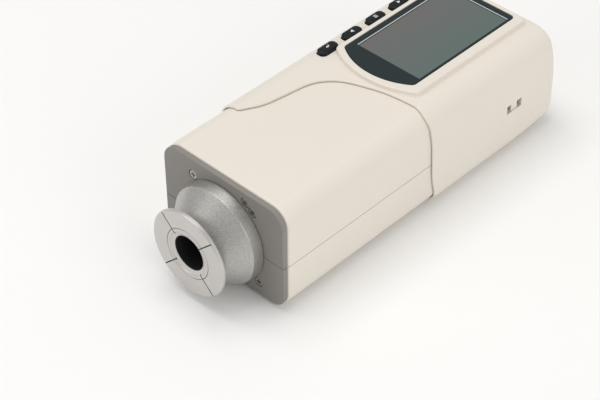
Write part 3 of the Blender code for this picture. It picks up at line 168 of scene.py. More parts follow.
def turnedMetal(name, light, dark, roughness, metallic, lines, axisZ):
    # Satin metal with the fine rings that a lathe leaves round the aperture's axis
    made, tree, shader, place = startMaterial(name)
    values = {"Location": (0, 0, -axisZ), "Scale": (1, 0, 1)}
    moved = addNode(tree, "ShaderNodeMapping", values, {"Vector": place}).outputs[0]
    radius = addNode(tree, "ShaderNodeVectorMath", None, {0: moved}, operation="LENGTH").outputs["Value"]
    scaled = addNode(tree, "ShaderNodeMath", {1: lines}, {0: radius}, operation="MULTIPLY").outputs[0]
    values = {"Scale": 1.0, "Detail": 4.0}
    rings = addNode(tree, "ShaderNodeTexNoise", values, {"W": scaled}, noise_dimensions="1D").outputs["Fac"]
    broad = noise(tree, place, 60, 2)
    tree.links.new(mixColour(tree, broad, dark, light), shader.inputs["Base Color"])
    tree.links.new(between(tree, rings, roughness - 0.07, roughness + 0.07), shader.inputs["Roughness"])
    addBump(tree, shader, rings, 0.12, 0.00001)
    shader.inputs["Metallic"].default_value = metallic
    return made


def screenGlass(name, lowColour, highColour):
    # The unlit display under its cover: a slow drift from warm to green grey, very glossy
    made, tree, shader, place = startMaterial(name)
    axis = addNode(tree, "ShaderNodeSeparateXYZ", None, {"Vector": place})
    drift = between(tree, axis.outputs["X"], 0, 1, -0.02, 0.016)
    tree.links.new(mixColour(tree, drift, lowColour, highColour), shader.inputs["Base Color"])
    pixels = noise(tree, place, 5200, 1)
    tree.links.new(between(tree, pixels, 0.2, 0.26), shader.inputs["Roughness"])
    shader.inputs["Specular IOR Level"].default_value = 0.3
    return made


finish = {
    "cream": grainedFinish("creamPlastic", (0.80, 0.745, 0.665), (0.77, 0.715, 0.64), 0.42, 2600, 0.00002),
    # The end plate's warm grey is darkened to paint in the shade that lies on the front end
    "plate": grainedFinish("platePaint", (0.27, 0.25, 0.23), (0.235, 0.22, 0.20), 0.55, 1900, 0.00004, 0.15),
    "silver": flakePaint("silverPaint", (0.56, 0.55, 0.52), (0.36, 0.36, 0.34), 0.40, 0.75, 4200),
    "disc": turnedMetal("satinDisc", (0.62, 0.59, 0.57), (0.56, 0.54, 0.52), 0.36, 0.65, 9000, body["axisZ"]),
    "lining": grainedFinish("darkLining", (0.004, 0.004, 0.004), (0.002, 0.002, 0.002), 0.8, 1500, 0.00002),
    "ink": grainedFinish("lineInk", (0.03, 0.03, 0.03), (0.02, 0.02, 0.02), 0.6, 1500, 0.00001),
    "black": grainedFinish("blackPlastic", (0.016, 0.018, 0.02), (0.01, 0.012, 0.013), 0.45, 2200, 0.00003),
    "rubber": grainedFinish("keyRubber", (0.004, 0.009, 0.011), (0.002, 0.006, 0.008), 0.4, 2400, 0.00001),
    "icon": grainedFinish("iconPrint", (0.8, 0.8, 0.78), (0.74, 0.74, 0.72), 0.5, 2400, 0.00001),
    "screw": turnedMetal("screwSteel", (0.44, 0.41, 0.38), (0.36, 0.33, 0.30), 0.34, 1.0, 5000, 0.0),
    "shell": turnedMetal("socketSteel", (0.6, 0.6, 0.6), (0.5, 0.5, 0.5), 0.25, 1.0, 4000, 0.0),
    "border": grainedFinish("bezelPrint", (0.014, 0.026, 0.029), (0.01, 0.02, 0.023), 0.3, 3000, 0.000004),
    "screen": screenGlass("screenGrey", (0.142, 0.134, 0.134), (0.105, 0.146, 0.134)),
    # The screen edge's light grey is a painted highlight along the screen's far and rear edges
    "edge": grainedFinish("screenEdge", (0.58, 0.60, 0.59), (0.5, 0.52, 0.51), 0.3, 3000, 0.000004),
    "board": grainedFinish("boardGreen", (0.02, 0.15, 0.07), (0.015, 0.11, 0.05), 0.4, 900, 0.00004),
    "wrap": grainedFinish("batteryWrap", (0.02, 0.08, 0.25), (0.015, 0.06, 0.2), 0.35, 700, 0.00003),
    "lamp": grainedFinish("lampDome", (0.85, 0.82, 0.7), (0.8, 0.78, 0.66), 0.2, 900, 0.00001),
    "gold": turnedMetal("contactGold", (0.75, 0.55, 0.22), (0.7, 0.5, 0.2), 0.25, 1.0, 4000, 0.0),
}
for name in ("rubber", "border", "edge", "black"):
    finish[name].node_tree.nodes["Principled BSDF"].inputs["Specular IOR Level"].default_value = 0.25
print("materials made:", len(finish))


# Mesh making
def newObject(name, mesh):
    made = bpy.data.objects.new(name, mesh)
    bpy.context.scene.collection.objects.link(made)
    return made


def meshFrom(name, work):
    bmesh.ops.recalc_face_normals(work, faces=work.faces)
    mesh = bpy.data.meshes.new(name)
    work.to_mesh(mesh)
    work.free()
    return mesh


def loftRings(name, rings, closeEnds=True):
    # Rings with equal point counts, bridged in turn; the ends are filled, or the last ring joins the first
    work = bmesh.new()
    rows = [[work.verts.new(point) for point in ring] for ring in rings]
    pairs = list(zip(rows, rows[1:]))
    if closeEnds:
        work.faces.new(rows[0])
        work.faces.new(rows[-1])
    else:
        pairs.append((rows[-1], rows[0]))
    for first, second in pairs:
        for k in range(len(first)):
            n = (k + 1) % len(first)
            work.faces.new((first[k], first[n], second[n], second[k]))
    return newObject(name, meshFrom(name, work))


def prism(name, outline, low, high):
    return loftRings(name, [[(x, y, z) for x, y in outline] for z in (low, high)])


def boxObject(name, size, centre):
    x, y, z = (side / 2 for side in size)
    outline = [(-x, -y), (x, -y), (x, y), (-x, y)]
    return prism(name, [(centre[0] + u, centre[1] + v) for u, v in outline], centre[2] - z, centre[2] + z)


def arcPoints(centreX, centreY, radius, start, end, steps):
    turns = [start + (end - start) * k / steps for k in range(steps + 1)]
    return [(centreX + radius * math.cos(a), centreY + radius * math.sin(a)) for a in turns]


def circlePoints(centreX, centreY, radius, sides):
    return arcPoints(centreX, centreY, radius, 0, 4 * quarter, sides)[:-1]


def roundedOutline(width, length, radius, steps=8, centre=(0, 0)):
    x, y = width / 2 - radius, length / 2 - radius
    corners = ((x, -y, -quarter), (x, y, 0), (-x, y, quarter), (-x, -y, 2 * quarter))
    points = [p for cx, cy, a in corners for p in arcPoints(cx, cy, radius, a, a + quarter, steps)]
    return [(px + centre[0], py + centre[1]) for px, py in points]


def plainMesh(obj):
    # The evaluated mesh in place of the object's modifiers
    bpy.context.view_layer.update()
    graph = bpy.context.evaluated_depsgraph_get()
    mesh = bpy.data.meshes.new_from_object(obj.evaluated_get(graph))
    obj.modifiers.clear()
    obj.data = mesh
    return obj


def combine(target, tools, operation):
    for tool in tools:
        step = target.modifiers.new(tool.name, "BOOLEAN")
        step.operation = operation
        step.solver = "MANIFOLD"
        step.object = tool
    plainMesh(target)
    for tool in tools:
        bpy.data.objects.remove(tool)
    return target


def finishPiece(obj, material, bodyName, replaced, sharp=30):
    # Smooth shading with sharp creases, one material, then its place in the frame
    if material:
        obj.data.materials.clear()
        obj.data.materials.append(material)
    obj.data.shade_smooth()
    obj.data.set_sharp_from_angle(angle=math.radians(sharp))
    step = obj.modifiers.new("evenNormals", "WEIGHTED_NORMAL")
    step.keep_sharp = True
    plainMesh(obj)
    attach(obj, bodyName)
    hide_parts(*replaced)
    return obj


# Sections and the wave
wave = {
    "start": 0.035,
    "run": 0.0536,
    "topShares": ((-1, 0), (-0.72, 0), (-0.63, 0.09), (-0.55, 0.21), (-0.50, 0.40), (-0.45, 0.61),
                  (-0.37, 0.73),
                  (-0.20, 0.84), (0.03, 0.91), (0.40, 0.98), (0.72, 1.0), (1, 1.0)),
    "sideShares": ((0, 1.13), (0.16, 1.10), (0.34, 1.065), (0.64, 1.045), (0.86, 1.005), (0.95, 0.99),
                   (1, 1)),
    "lowShare": 1.13,
    "samples": 72,
}
sectionSteps = {"corner": 14, "side": 16}


def smoothBlend(points, at):
    # A monotone cubic through (place, value) pairs
    places = [p for p, v in points]
    values = [v for p, v in points]
    slopes = [(values[k + 1] - values[k]) / (places[k + 1] - places[k]) for k in range(len(points) - 1)]
    tangents = [slopes[0]]
    for before, after in zip(slopes, slopes[1:]):
        tangents.append(0 if before * after <= 0 else 2 * before * after / (before + after))
    tangents.append(slopes[-1])
    if at <= places[0]:
        return values[0]
    for k in range(len(points) - 1):
        if at <= places[k + 1]:
            span = places[k + 1] - places[k]
            t = (at - places[k]) / span
            rise = (2 * t**3 - 3 * t**2 + 1) * values[k] + (3 * t**2 - 2 * t**3) * values[k + 1]
            bend = (t**3 - 2 * t**2 + t) * tangents[k] + (t**3 - t**2) * tangents[k + 1]
            return rise + span * bend
    return values[-1]


def seamDepth(x, z):
    flat = body["headHalf"] - body["headTopRadius"]
    height = z / body["headHigh"]
    if x >= flat:
        run = smoothBlend(wave["sideShares"], height)
    else:
        run = smoothBlend(wave["topShares"], x / body["headHalf"]) * (1 if height > 0.5 else wave["lowShare"])
    return wave["start"] + wave["run"] * run


def cornerColumns(centreX, centreZ, radius, start, end):
    steps = sectionSteps["corner"]
    turns = [start + (end - start) * k / steps for k in range(steps + 1)]
    found = []
    for a in turns:
        across, up = math.cos(a), math.sin(a)
        found.append((centreX + radius * across, centreZ + radius * up, across, up))
    return found


def sectionColumns(half, low, high, lowRadius, highRadius, flatSamples):
    # Places round a section as (x, z, nx, nz), from the far end of the top over the near side
    flat, lowFlat = half - highRadius, half - lowRadius
    sideSteps = sectionSteps["side"]
    sideTop, sideFoot = high - highRadius, low + lowRadius
    sides = [sideTop + (sideFoot - sideTop) * k / sideSteps for k in range(1, sideSteps)]
    top = [-flat + 2 * flat * k / flatSamples for k in range(flatSamples)]
    floor = [lowFlat - 2 * lowFlat * k / flatSamples for k in range(1, flatSamples)]
    columns = [(x, high, 0, 1) for x in top]
    columns += cornerColumns(flat, high - highRadius, highRadius, quarter, 0)
    columns += [(half, z, 1, 0) for z in sides]
    columns += cornerColumns(lowFlat, low + lowRadius, lowRadius, 0, -quarter)
    columns += [(x, low, 0, -1) for x in floor]
    columns += cornerColumns(-lowFlat, low + lowRadius, lowRadius, -quarter, -2 * quarter)
    columns += [(-half, z, -1, 0) for z in reversed(sides)]
    columns += cornerColumns(-flat, high - highRadius, highRadius, 2 * quarter, quarter)[:-1]
    return columns


# Grip shells
grip = {"frontRound": 0.0014, "frontSteps": 8, "plateThickness": 0.0022, "edgeBreak": 0.00018,
        "flatSamples": 6}
caseScrew = {"inset": 0.0093, "frontDepth": 0.027, "rearDepth": 0.102, "headRadius": 0.0023,
             "seatSides": 48}


def gripOutline(upper):
    # One half of the grip's section, closed along the parting plane by its two end columns
    columns = sectionColumns(body["gripHalf"], body["gripLow"], body["gripHigh"], body["gripLowRadius"],
                             body["gripTopRadius"], grip["flatSamples"])
    side = 1 if upper else -1
    edge = body["splitZ"] + side * gap / 2
    kept = [c for c in columns if (c[1] - edge) * side > grip["edgeBreak"] * 2]
    if upper:
        # The far side comes last in the list, so it is moved to the front
        firstFar = next(k for k, c in enumerate(kept) if c[2] < 0 and k > len(kept) / 2)
        kept = kept[firstFar:] + kept[:firstFar]
    start, end = (-side * body["gripHalf"], side * body["gripHalf"])
    brokenEdge = edge + side * grip["edgeBreak"]
    head = [(start, brokenEdge, math.copysign(1, start), 0)]
    tail = [(end, brokenEdge, math.copysign(1, end), 0)]
    return head + kept + tail, edge


def gripProfile(upper, inset):
    outline, edge = gripOutline(upper)
    outer = [(x - nx * inset, z - nz * inset) for x, z, nx, nz in outline]
    inner = [(x - nx * body["wall"], z - nz * body["wall"]) for x, z, nx, nz in outline]
    inner[0], inner[-1] = (inner[0][0], edge), (inner[-1][0], edge)
    first = (outer[0][0] - math.copysign(grip["edgeBreak"], outer[0][0]), edge)
    last = (outer[-1][0] - math.copysign(grip["edgeBreak"], outer[-1][0]), edge)
    return [first] + outer + [last] + inner[::-1]


def gripShell(name, upper):
    rings = []
    for k in range(grip["frontSteps"] + 1):
        turn = k / grip["frontSteps"] * quarter
        inset = grip["frontRound"] * (1 - math.sin(turn))
        depth = grip["plateThickness"] + gap + grip["frontRound"] * (1 - math.cos(turn))
        rings.append([(x, body["frontY"] + depth, z) for x, z in gripProfile(upper, inset)])
    rings.append([(x, body["frontY"] + body["spigotDepth"], z) for x, z in gripProfile(upper, 0)])
    return loftRings(name, rings)


def screwSeat(name, x, depth, high):
    # A round bore up from the underside with a small lead-in
    radius = caseScrew["headRadius"] + gap
    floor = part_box("head_housing")[0].z if depth == caseScrew["rearDepth"] else body["gripLow"]
    rings = []
    for grow, z in ((gap, floor - overrun), (gap, floor), (0, floor + gap), (0, high)):
        circle = circlePoints(x, body["frontY"] + depth, radius + grow, caseScrew["seatSides"])
        rings.append([(px, py, z) for px, py in circle])
    return loftRings(name, rings)


def makeGrip():
    upper, lower = gripShell("gripTop", True), gripShell("gripFloor", False)
    side = body["gripHalf"] - caseScrew["inset"]
    seats = [screwSeat(f"seat{k}", x, caseScrew["frontDepth"], body["gripLow"] + body["wall"] + overrun)
             for k, x in enumerate((-side, side))]
    combine(lower, seats, "DIFFERENCE")
    # The roof is open under the keys and the screen, behind the wave
    keyLow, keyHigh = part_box("key_enter")
    lcdLow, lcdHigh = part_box("lcd_module")
    rear = body["frontY"] + body["spigotDepth"] + overrun
    height = body["headTopRadius"]
    low = body["gripHigh"] - body["wall"] - body["gripTopRadius"] / 2
    spans = ((keyLow.x - 2 * gap, keyHigh.x + 3 * gap, keyLow.y - 2 * gap),
             (keyHigh.x, lcdHigh.x + 2 * gap, lcdLow.y - gap))
    cuts = []
    for k, (far, near, start) in enumerate(spans):
        size = (near - far, rear - start, height)
        cuts.append(boxObject(f"roof{k}", size, ((far + near) / 2, (start + rear) / 2, low + height / 2)))
    cuts.append(buttonHole("gripButtonHole"))
    combine(upper, cuts, "DIFFERENCE")
    finishPiece(upper, finish["cream"], "root", ["grip_upper_shell"])
    finishPiece(lower, finish["cream"], "root", ["grip_lower_shell"])
    print("grip shells made")


# Measuring button and power slide, both on the far side
trigger = {"sink": 0.0003, "dish": 0.003, "dishDepth": 0.0006, "round": 0.0008, "flange": 0.0012,
           "flangeHeight": 0.0009,
           "roundSteps": 6, "cornerSteps": 16}


def sideways(points, x):
    # An outline of (along the body, up) set upright at a place on the far side
    return [(x, y, z) for y, z in points]


def buttonPlace():
    # The visible face's size: the node's box without its flange
    low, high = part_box("measure_button")
    length, width = high.y - low.y - 2 * trigger["flange"], high.z - low.z - 2 * trigger["flange"]
    return low.x, (low.y + high.y) / 2, (low.z + high.z) / 2, length, width


def buttonOutline(grow):
    face, y, z, length, width = buttonPlace()
    length, width = length + 2 * grow, width + 2 * grow
    return roundedOutline(length, width, width * 9 / 20, trigger["cornerSteps"], (y, z))


def buttonHole(name):
    rings = [sideways(buttonOutline(gap), x) for x in
             (-body["headHalf"] - overrun, -body["gripHalf"] + 2 * body["wall"])]
    return loftRings(name, rings)


def buttonDish():
    # A round-bottomed hollow round the button
    rings = [sideways(buttonOutline(trigger["dish"]), -body["headHalf"] - overrun)]
    steps = trigger["roundSteps"]
    for k in range(steps + 1):
        turn = k / steps * quarter
        grow = gap + (trigger["dish"] - gap) * math.cos(turn)
        rings.append(sideways(buttonOutline(grow), -body["headHalf"] + trigger["dishDepth"] * math.sin(turn)))
    return loftRings("buttonDish", rings)


def makeButton():
    face = buttonPlace()[0]
    inner = -body["gripHalf"] + body["wall"] + gap
    rings = []
    flange = trigger["flange"]
    for grow, x in ((flange, inner + trigger["flangeHeight"]), (flange, inner), (0, inner)):
        rings.append(sideways(buttonOutline(grow), x))
    steps = trigger["roundSteps"]
    for k in range(steps + 1):
        turn = k / steps * quarter
        grow = -trigger["round"] * (1 - math.cos(turn))
        rings.append(sideways(buttonOutline(grow), face + trigger["round"] * (1 - math.sin(turn))))
    # A shallow finger hollow in its face
    for share in (0.35, 0.6, 0.8):
        grow = -trigger["round"] - share * (buttonPlace()[4] / 2 - trigger["round"])
        rings.append(sideways(buttonOutline(grow), face + trigger["sink"] * share))
    button = loftRings("measureButton", rings)
    finishPiece(button, finish["cream"], "trigger", ["measure_button"])
    print("measuring button made")


slide = {"travel": 0.003, "margin": 0.001, "sink": 0.0002, "dish": 0.0015, "dishDepth": 0.0005, "ribCount": 4,
         "ribPitch": 0.0008, "ribWidth": 0.0004, "ribHeight": 0.00035, "round": 0.0003}


def slidePlace():
    low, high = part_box("power_slider")
    margin = slide["margin"]
    length, width = high.y - low.y - 2 * margin, high.z - low.z - 2 * margin
    return low.x, (low.y + high.y) / 2, (low.z + high.z) / 2, length, width


def slideCuts():
    face, y, z, length, width = slidePlace()
    middle = y + slide["travel"] / 2
    size = (length + slide["travel"] + 2 * gap, width + 2 * gap)
    outer, inner = -body["headHalf"] - overrun, -body["headHalf"] + body["wall"] + overrun
    outline = roundedOutline(*size, gap, 6, (middle, z))
    slot = loftRings("slideSlot", [sideways(outline, x) for x in (outer, inner)])
    dish = slide["dish"]
    rings = []
    floor = slide["dishDepth"] - body["headHalf"]
    for grow, x in ((dish, outer), (dish, -body["headHalf"]), (dish * 3 / 4, floor)):
        outline = roundedOutline(size[0] + 2 * grow, size[1] + 2 * grow, grow, 8, (middle, z))
        rings.append(sideways(outline, x))
    return [slot, loftRings("slideDish", rings)]


def makeSlide():
    face, y, z, length, width = slidePlace()
    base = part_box("power_slider")[1].x
    plateTop = -body["headHalf"] + body["wall"] + gap
    crest = face + slide["ribHeight"]
    rings = []
    margin = slide["margin"]
    levels = ((margin, base), (margin, plateTop), (0, plateTop), (0, crest + slide["round"]),
              (-slide["round"], crest))
    for grow, x in levels:
        outline = roundedOutline(length + 2 * grow, width + 2 * grow, slide["round"] / 2, 4, (y, z))
        rings.append(sideways(outline, x))
    knob = loftRings("powerSlider", rings)
    first = Vector((face + slide["ribHeight"], y - slide["ribPitch"] * (slide["ribCount"] - 1) / 2, z))
    size = (2 * slide["ribHeight"], slide["ribWidth"], width - 2 * slide["round"])
    step = (0, slide["ribPitch"], 0)
    ribs = barsInRow("sliderRibs", slide["ribCount"], first, step, size, finish["black"])
    combine(knob, [ribs], "UNION")
    finishPiece(knob, finish["black"], "power", ["power_slider"])
    print("power slide made")


# Geometry Nodes
def newTree(name, inputs):
    tree = bpy.data.node_groups.new(name, "GeometryNodeTree")
    for label, kind in inputs:
        tree.interface.new_socket(name=label, in_out="INPUT", socket_type="NodeSocket" + kind)
    tree.interface.new_socket(name="Geometry", in_out="OUTPUT", socket_type="NodeSocketGeometry")
    return tree, addNode(tree, "NodeGroupInput").outputs, addNode(tree, "NodeGroupOutput")


def endTree(tree, outputNode, geometry, material):
    real = addNode(tree, "GeometryNodeRealizeInstances", None, {"Geometry": geometry})
    links = {"Geometry": real.outputs[0], "Material": material}
    painted = addNode(tree, "GeometryNodeSetMaterial", None, links)
    tree.links.new(painted.outputs[0], outputNode.inputs[0])
    return tree


def math2(tree, operation, first, second):
    made = tree.nodes.new("ShaderNodeMath")
    made.operation = operation
    for k, value in enumerate((first, second)):
        if isinstance(value, (int, float)):
            made.inputs[k].default_value = value
        elif value is not None:
            tree.links.new(value, made.inputs[k])
    return made.outputs[0]


def turnedTree():
    # Turns a profile mesh of (radius, reach) about the aperture's axis
    inputs = [("Profile", "Geometry"), ("Sides", "Int"), ("Plane Y", "Float"), ("Axis Height", "Float"),
              ("Finish", "Material")]
    tree, given, out = newTree("turnedPart", inputs)
    size = addNode(tree, "GeometryNodeAttributeDomainSize", None, {"Geometry": given["Profile"]})
    count = size.outputs["Point Count"]
    columns = math2(tree, "ADD", given["Sides"], 1)
    grid = addNode(tree, "GeometryNodeMeshGrid", None, {"Vertices X": columns, "Vertices Y": count})
    index = addNode(tree, "GeometryNodeInputIndex").outputs[0]
    row = math2(tree, "MODULO", index, count)
    column = math2(tree, "FLOOR", math2(tree, "DIVIDE", index, count), None)
    turn = math2(tree, "MULTIPLY", math2(tree, "DIVIDE", column, given["Sides"]), 4 * quarter)
    position = addNode(tree, "GeometryNodeInputPosition").outputs[0]
    sample = sampleAt(tree, given["Profile"], position, row)
    parts = addNode(tree, "ShaderNodeSeparateXYZ", None, {"Vector": sample})
    x = math2(tree, "MULTIPLY", parts.outputs["X"], math2(tree, "COSINE", turn, None))
    z = math2(tree, "ADD", math2(tree, "MULTIPLY", parts.outputs["X"], math2(tree, "SINE", turn, None)),
              given["Axis Height"])
    y = math2(tree, "SUBTRACT", given["Plane Y"], parts.outputs["Y"])
    place = addNode(tree, "ShaderNodeCombineXYZ", None, {"X": x, "Y": y, "Z": z}).outputs[0]
    links = {"Geometry": grid.outputs["Mesh"], "Position": place}
    moved = addNode(tree, "GeometryNodeSetPosition", None, links)
    links = {"Geometry": moved.outputs[0]}
    merged = addNode(tree, "GeometryNodeMergeByDistance", {"Distance": weldDistance}, links)
    return endTree(tree, out, merged.outputs[0], given["Finish"])


def sampleAt(tree, geometry, value, index):
    made = tree.nodes.new("GeometryNodeSampleIndex")
    made.data_type = "FLOAT_VECTOR"
    tree.links.new(geometry, made.inputs["Geometry"])
    tree.links.new(value, made.inputs["Value"])
    tree.links.new(index, made.inputs["Index"])
    return made.outputs["Value"]


def screwTree(turned):
    # One cross-head screw from its profile, set at each point of the places mesh with its own turn
    inputs = [("Places", "Geometry"), ("Profile", "Object"), ("Sides", "Int"), ("Recess Size", "Float"),
              ("Recess Width", "Float"), ("Recess Depth", "Float"), ("Facing", "Vector"), ("Seed", "Int"),
              ("Finish", "Material")]
    tree, given, out = newTree("crossScrews", inputs)
    profile = addNode(tree, "GeometryNodeObjectInfo", None, {"Object": given["Profile"]}).outputs["Geometry"]
    blank = addNode(tree, "GeometryNodeGroup", None, None, node_tree=turned)
    tree.links.new(profile, blank.inputs["Profile"])
    tree.links.new(given["Sides"], blank.inputs["Sides"])
    tree.links.new(given["Finish"], blank.inputs["Finish"])
    deep = math2(tree, "MULTIPLY", given["Recess Depth"], 2)
    arms = []
    for first, second in (("Recess Size", "Recess Width"), ("Recess Width", "Recess Size")):
        size = addNode(tree, "ShaderNodeCombineXYZ", None, {"X": given[first], "Y": deep, "Z": given[second]})
        arms.append(addNode(tree, "GeometryNodeMeshCube", None, {"Size": size.outputs[0]}).outputs["Mesh"])
    links = {"Mesh 1": blank.outputs[0]}
    cut = addNode(tree, "GeometryNodeMeshBoolean", None, links, operation="DIFFERENCE", solver="EXACT")
    for arm in arms:
        tree.links.new(arm, cut.inputs["Mesh 2"])
    links = {"Points": given["Places"], "Instance": cut.outputs[0], "Rotation": given["Facing"]}
    placed = addNode(tree, "GeometryNodeInstanceOnPoints", None, links)
    spin = addNode(tree, "FunctionNodeRandomValue", None, {"Seed": given["Seed"]}, data_type="FLOAT")
    spin.inputs[2].default_value, spin.inputs[3].default_value = 0, quarter
    turn = addNode(tree, "ShaderNodeCombineXYZ", None, {"Y": spin.outputs[1]})
    links = {"Instances": placed.outputs[0], "Rotation": turn.outputs[0]}
    spun = addNode(tree, "GeometryNodeRotateInstances", None, links)
    return endTree(tree, out, spun.outputs[0], given["Finish"])


def barsTree():
    # Equal bars in a straight row
    inputs = [("Count", "Int"), ("First", "Vector"), ("Step", "Vector"), ("Size", "Vector"),
              ("Finish", "Material")]
    tree, given, out = newTree("barsInRow", inputs)
    links = {"Count": given["Count"], "Start Location": given["First"], "Offset": given["Step"]}
    line = addNode(tree, "GeometryNodeMeshLine", None, links, mode="OFFSET")
    bar = addNode(tree, "GeometryNodeMeshCube", None, {"Size": given["Size"]})
    links = {"Points": line.outputs[0], "Instance": bar.outputs["Mesh"]}
    placed = addNode(tree, "GeometryNodeInstanceOnPoints", None, links)
    return endTree(tree, out, placed.outputs[0], given["Finish"])


trees = {"turned": turnedTree(), "bars": barsTree()}
trees["screws"] = screwTree(trees["turned"])
print("node trees made:", ", ".join(trees))


def runTree(obj, tree, values):
    # Sets each input by its socket's identifier, then keeps the plain mesh
    step = obj.modifiers.new(tree.name, "NODES")
    step.node_group = tree
    for item in tree.interface.items_tree:
        if item.in_out == "INPUT" and item.name in values:
            step[item.identifier] = values[item.name]
    plainMesh(obj)
    work = bmesh.new()
    work.from_mesh(obj.data)
    bmesh.ops.recalc_face_normals(work, faces=work.faces)
    work.to_mesh(obj.data)
    work.free()
    return obj


def polyline(name, points, closed):
    mesh = bpy.data.meshes.new(name)
    points = points + points[:1] if closed else points
    mesh.from_pydata([(u, v, 0) for u, v in points], [(k, k + 1) for k in range(len(points) - 1)], [])
    return newObject(name, mesh)


def turnedPiece(name, profile, sides, material, closed=True):
    values = {"Sides": sides, "Plane Y": body["frontY"], "Axis Height": body["axisZ"], "Finish": material}
    return runTree(polyline(name, profile, closed), trees["turned"], values)


def barsInRow(name, count, first, step, size, material):
    holder = newObject(name, bpy.data.meshes.new(name))
    values = {"Count": count, "First": tuple(first), "Step": tuple(step), "Size": tuple(size),
              "Finish": material}
    return runTree(holder, trees["bars"], values)


# Measuring dome, locating disc and aperture ring
dome = {
    "radius": 0.0238, "band": 0.0055, "bandTaper": 0.0003, "ridgeRound": 0.0007, "neck": 0.0118,
    "wall": 0.0019,
    "power": 1.06, "steps": 24, "sides": 160,
}
disc = {
    "radius": discHigh.x, "thickness": 0.00175, "chamfer": 0.0005, "round": 0.00022, "ringRadius": 0.0122,
    "tailRadius": 0.01, "aperture": 0.0082, "bevel": 0.0017, "bevelDepth": 0.0009, "step": 0.0007,
    "stepDepth": 0.00025, "edgeBreak": 0.0001, "boreBreak": 0.0002, "lineReach": 0.0003,
    "lineWidth": 0.00055, "lineDepth": 0.0002, "groove": 0.00024,
}


def roundCorner(before, corner, after, radius, steps=6):
    # A fillet arc in place of a corner of a profile
    a, b, c = Vector(before), Vector(corner), Vector(after)
    first, second = (a - b).normalized(), (c - b).normalized()
    half = first.angle(second) / 2
    reach = radius / math.tan(half)
    start, end = b + first * reach, b + second * reach
    centre = b + (first + second).normalized() * radius / math.sin(half)
    spokes = [point - centre for point in (start, end)]
    turns = [math.atan2(spoke.y, spoke.x) for spoke in spokes]
    swing = (turns[1] - turns[0] + 2 * quarter) % (4 * quarter) - 2 * quarter
    return arcPoints(centre.x, centre.y, radius, turns[0], turns[0] + swing, steps)


def domeSide(startRadius, endRadius, start, end, steps):
    found = []
    for k in range(steps + 1):
        turn = k / steps * quarter
        out = math.cos(turn) ** (2 / dome["power"]) if k < steps else 0
        on = math.sin(turn) ** (2 / dome["power"])
        found.append((endRadius + (startRadius - endRadius) * out, start + (end - start) * on))
    return found


def makeDome():
    front = body["reach"] - disc["thickness"] - gap
    ridge = dome["radius"] - dome["bandTaper"]
    start = dome["band"] + dome["ridgeRound"] / 3
    side = domeSide(ridge - dome["ridgeRound"] / 2, dome["neck"], start, front, dome["steps"])
    crest = roundCorner((dome["radius"], gap), (ridge, dome["band"]), side[3], dome["ridgeRound"])
    bore = disc["tailRadius"] + gap
    inner = domeSide(ridge - dome["wall"], bore, dome["band"], front - dome["wall"], 10)
    outside = [(dome["radius"], gap)] + crest + side[3:]
    profile = outside + [(bore, front)] + inner[::-1] + [(dome["radius"] - dome["wall"], gap)]
    shell = turnedPiece("measuringDome", profile, dome["sides"], finish["silver"])
    finishPiece(shell, finish["silver"], "root", ["measuring_dome"], 40)
    print("dome made")


def lineBars(name, low, high, reach):
    # Four bars at 45 degrees from radius low to high, standing in the face at a reach
    bars = []
    for k in range(4):
        turn = quarter * (k + 1 / 2)
        size = (high - low, 2 * disc["lineDepth"], disc["lineWidth"])
        bar = boxObject(f"{name}{k}", size, ((low + high) / 2, 0, 0))
        moved = Matrix.Translation((0, body["frontY"] - reach, body["axisZ"]))
        bar.data.transform(moved @ Matrix.Rotation(turn, 4, "Y"))
        bars.append(bar)
    return bars


def inkFaces(obj, material, test):
    # Paints the faces whose middle passes the test
    obj.data.materials.append(material)
    index = len(obj.data.materials) - 1
    for face in obj.data.polygons:
        if test(face):
            face.material_index = index


def makeDisc():
    low, high = body["reach"] - disc["thickness"], body["reach"]
    bore = disc["ringRadius"] + disc["groove"] / 2
    rim, chamfer = disc["radius"], disc["chamfer"]
    outer = roundCorner((rim, low), (rim, high - chamfer), (rim - chamfer, high), disc["round"], 4)
    inner = roundCorner((rim, high - chamfer), (rim - chamfer, high), (bore, high), disc["round"], 4)
    profile = [(rim - gap / 2, low), (rim, low + gap / 2)] + outer + inner
    profile += [(bore + disc["edgeBreak"], high), (bore, high - disc["edgeBreak"])]
    profile += [(bore, low)]
    plate = turnedPiece("locatingDisc", profile, dome["sides"], finish["disc"])
    combine(plate, lineBars("discLine", bore - overrun, rim + overrun, high), "DIFFERENCE")
    plate.data.materials.clear()
    plate.data.materials.append(finish["disc"])
    inkFaces(plate, finish["ink"], lambda face: isLineFloor(face, high))
    finishPiece(plate, None, "root", ["locating_disc"], 25)


def isLineFloor(face, high):
    reach = body["frontY"] - face.center.y
    x, z = face.center.x, face.center.z - body["axisZ"]
    off = min(abs(x - z), abs(x + z)) / math.sqrt(2)
    return off < disc["lineWidth"] * 0.6 and reach > high - disc["lineDepth"] * 1.3


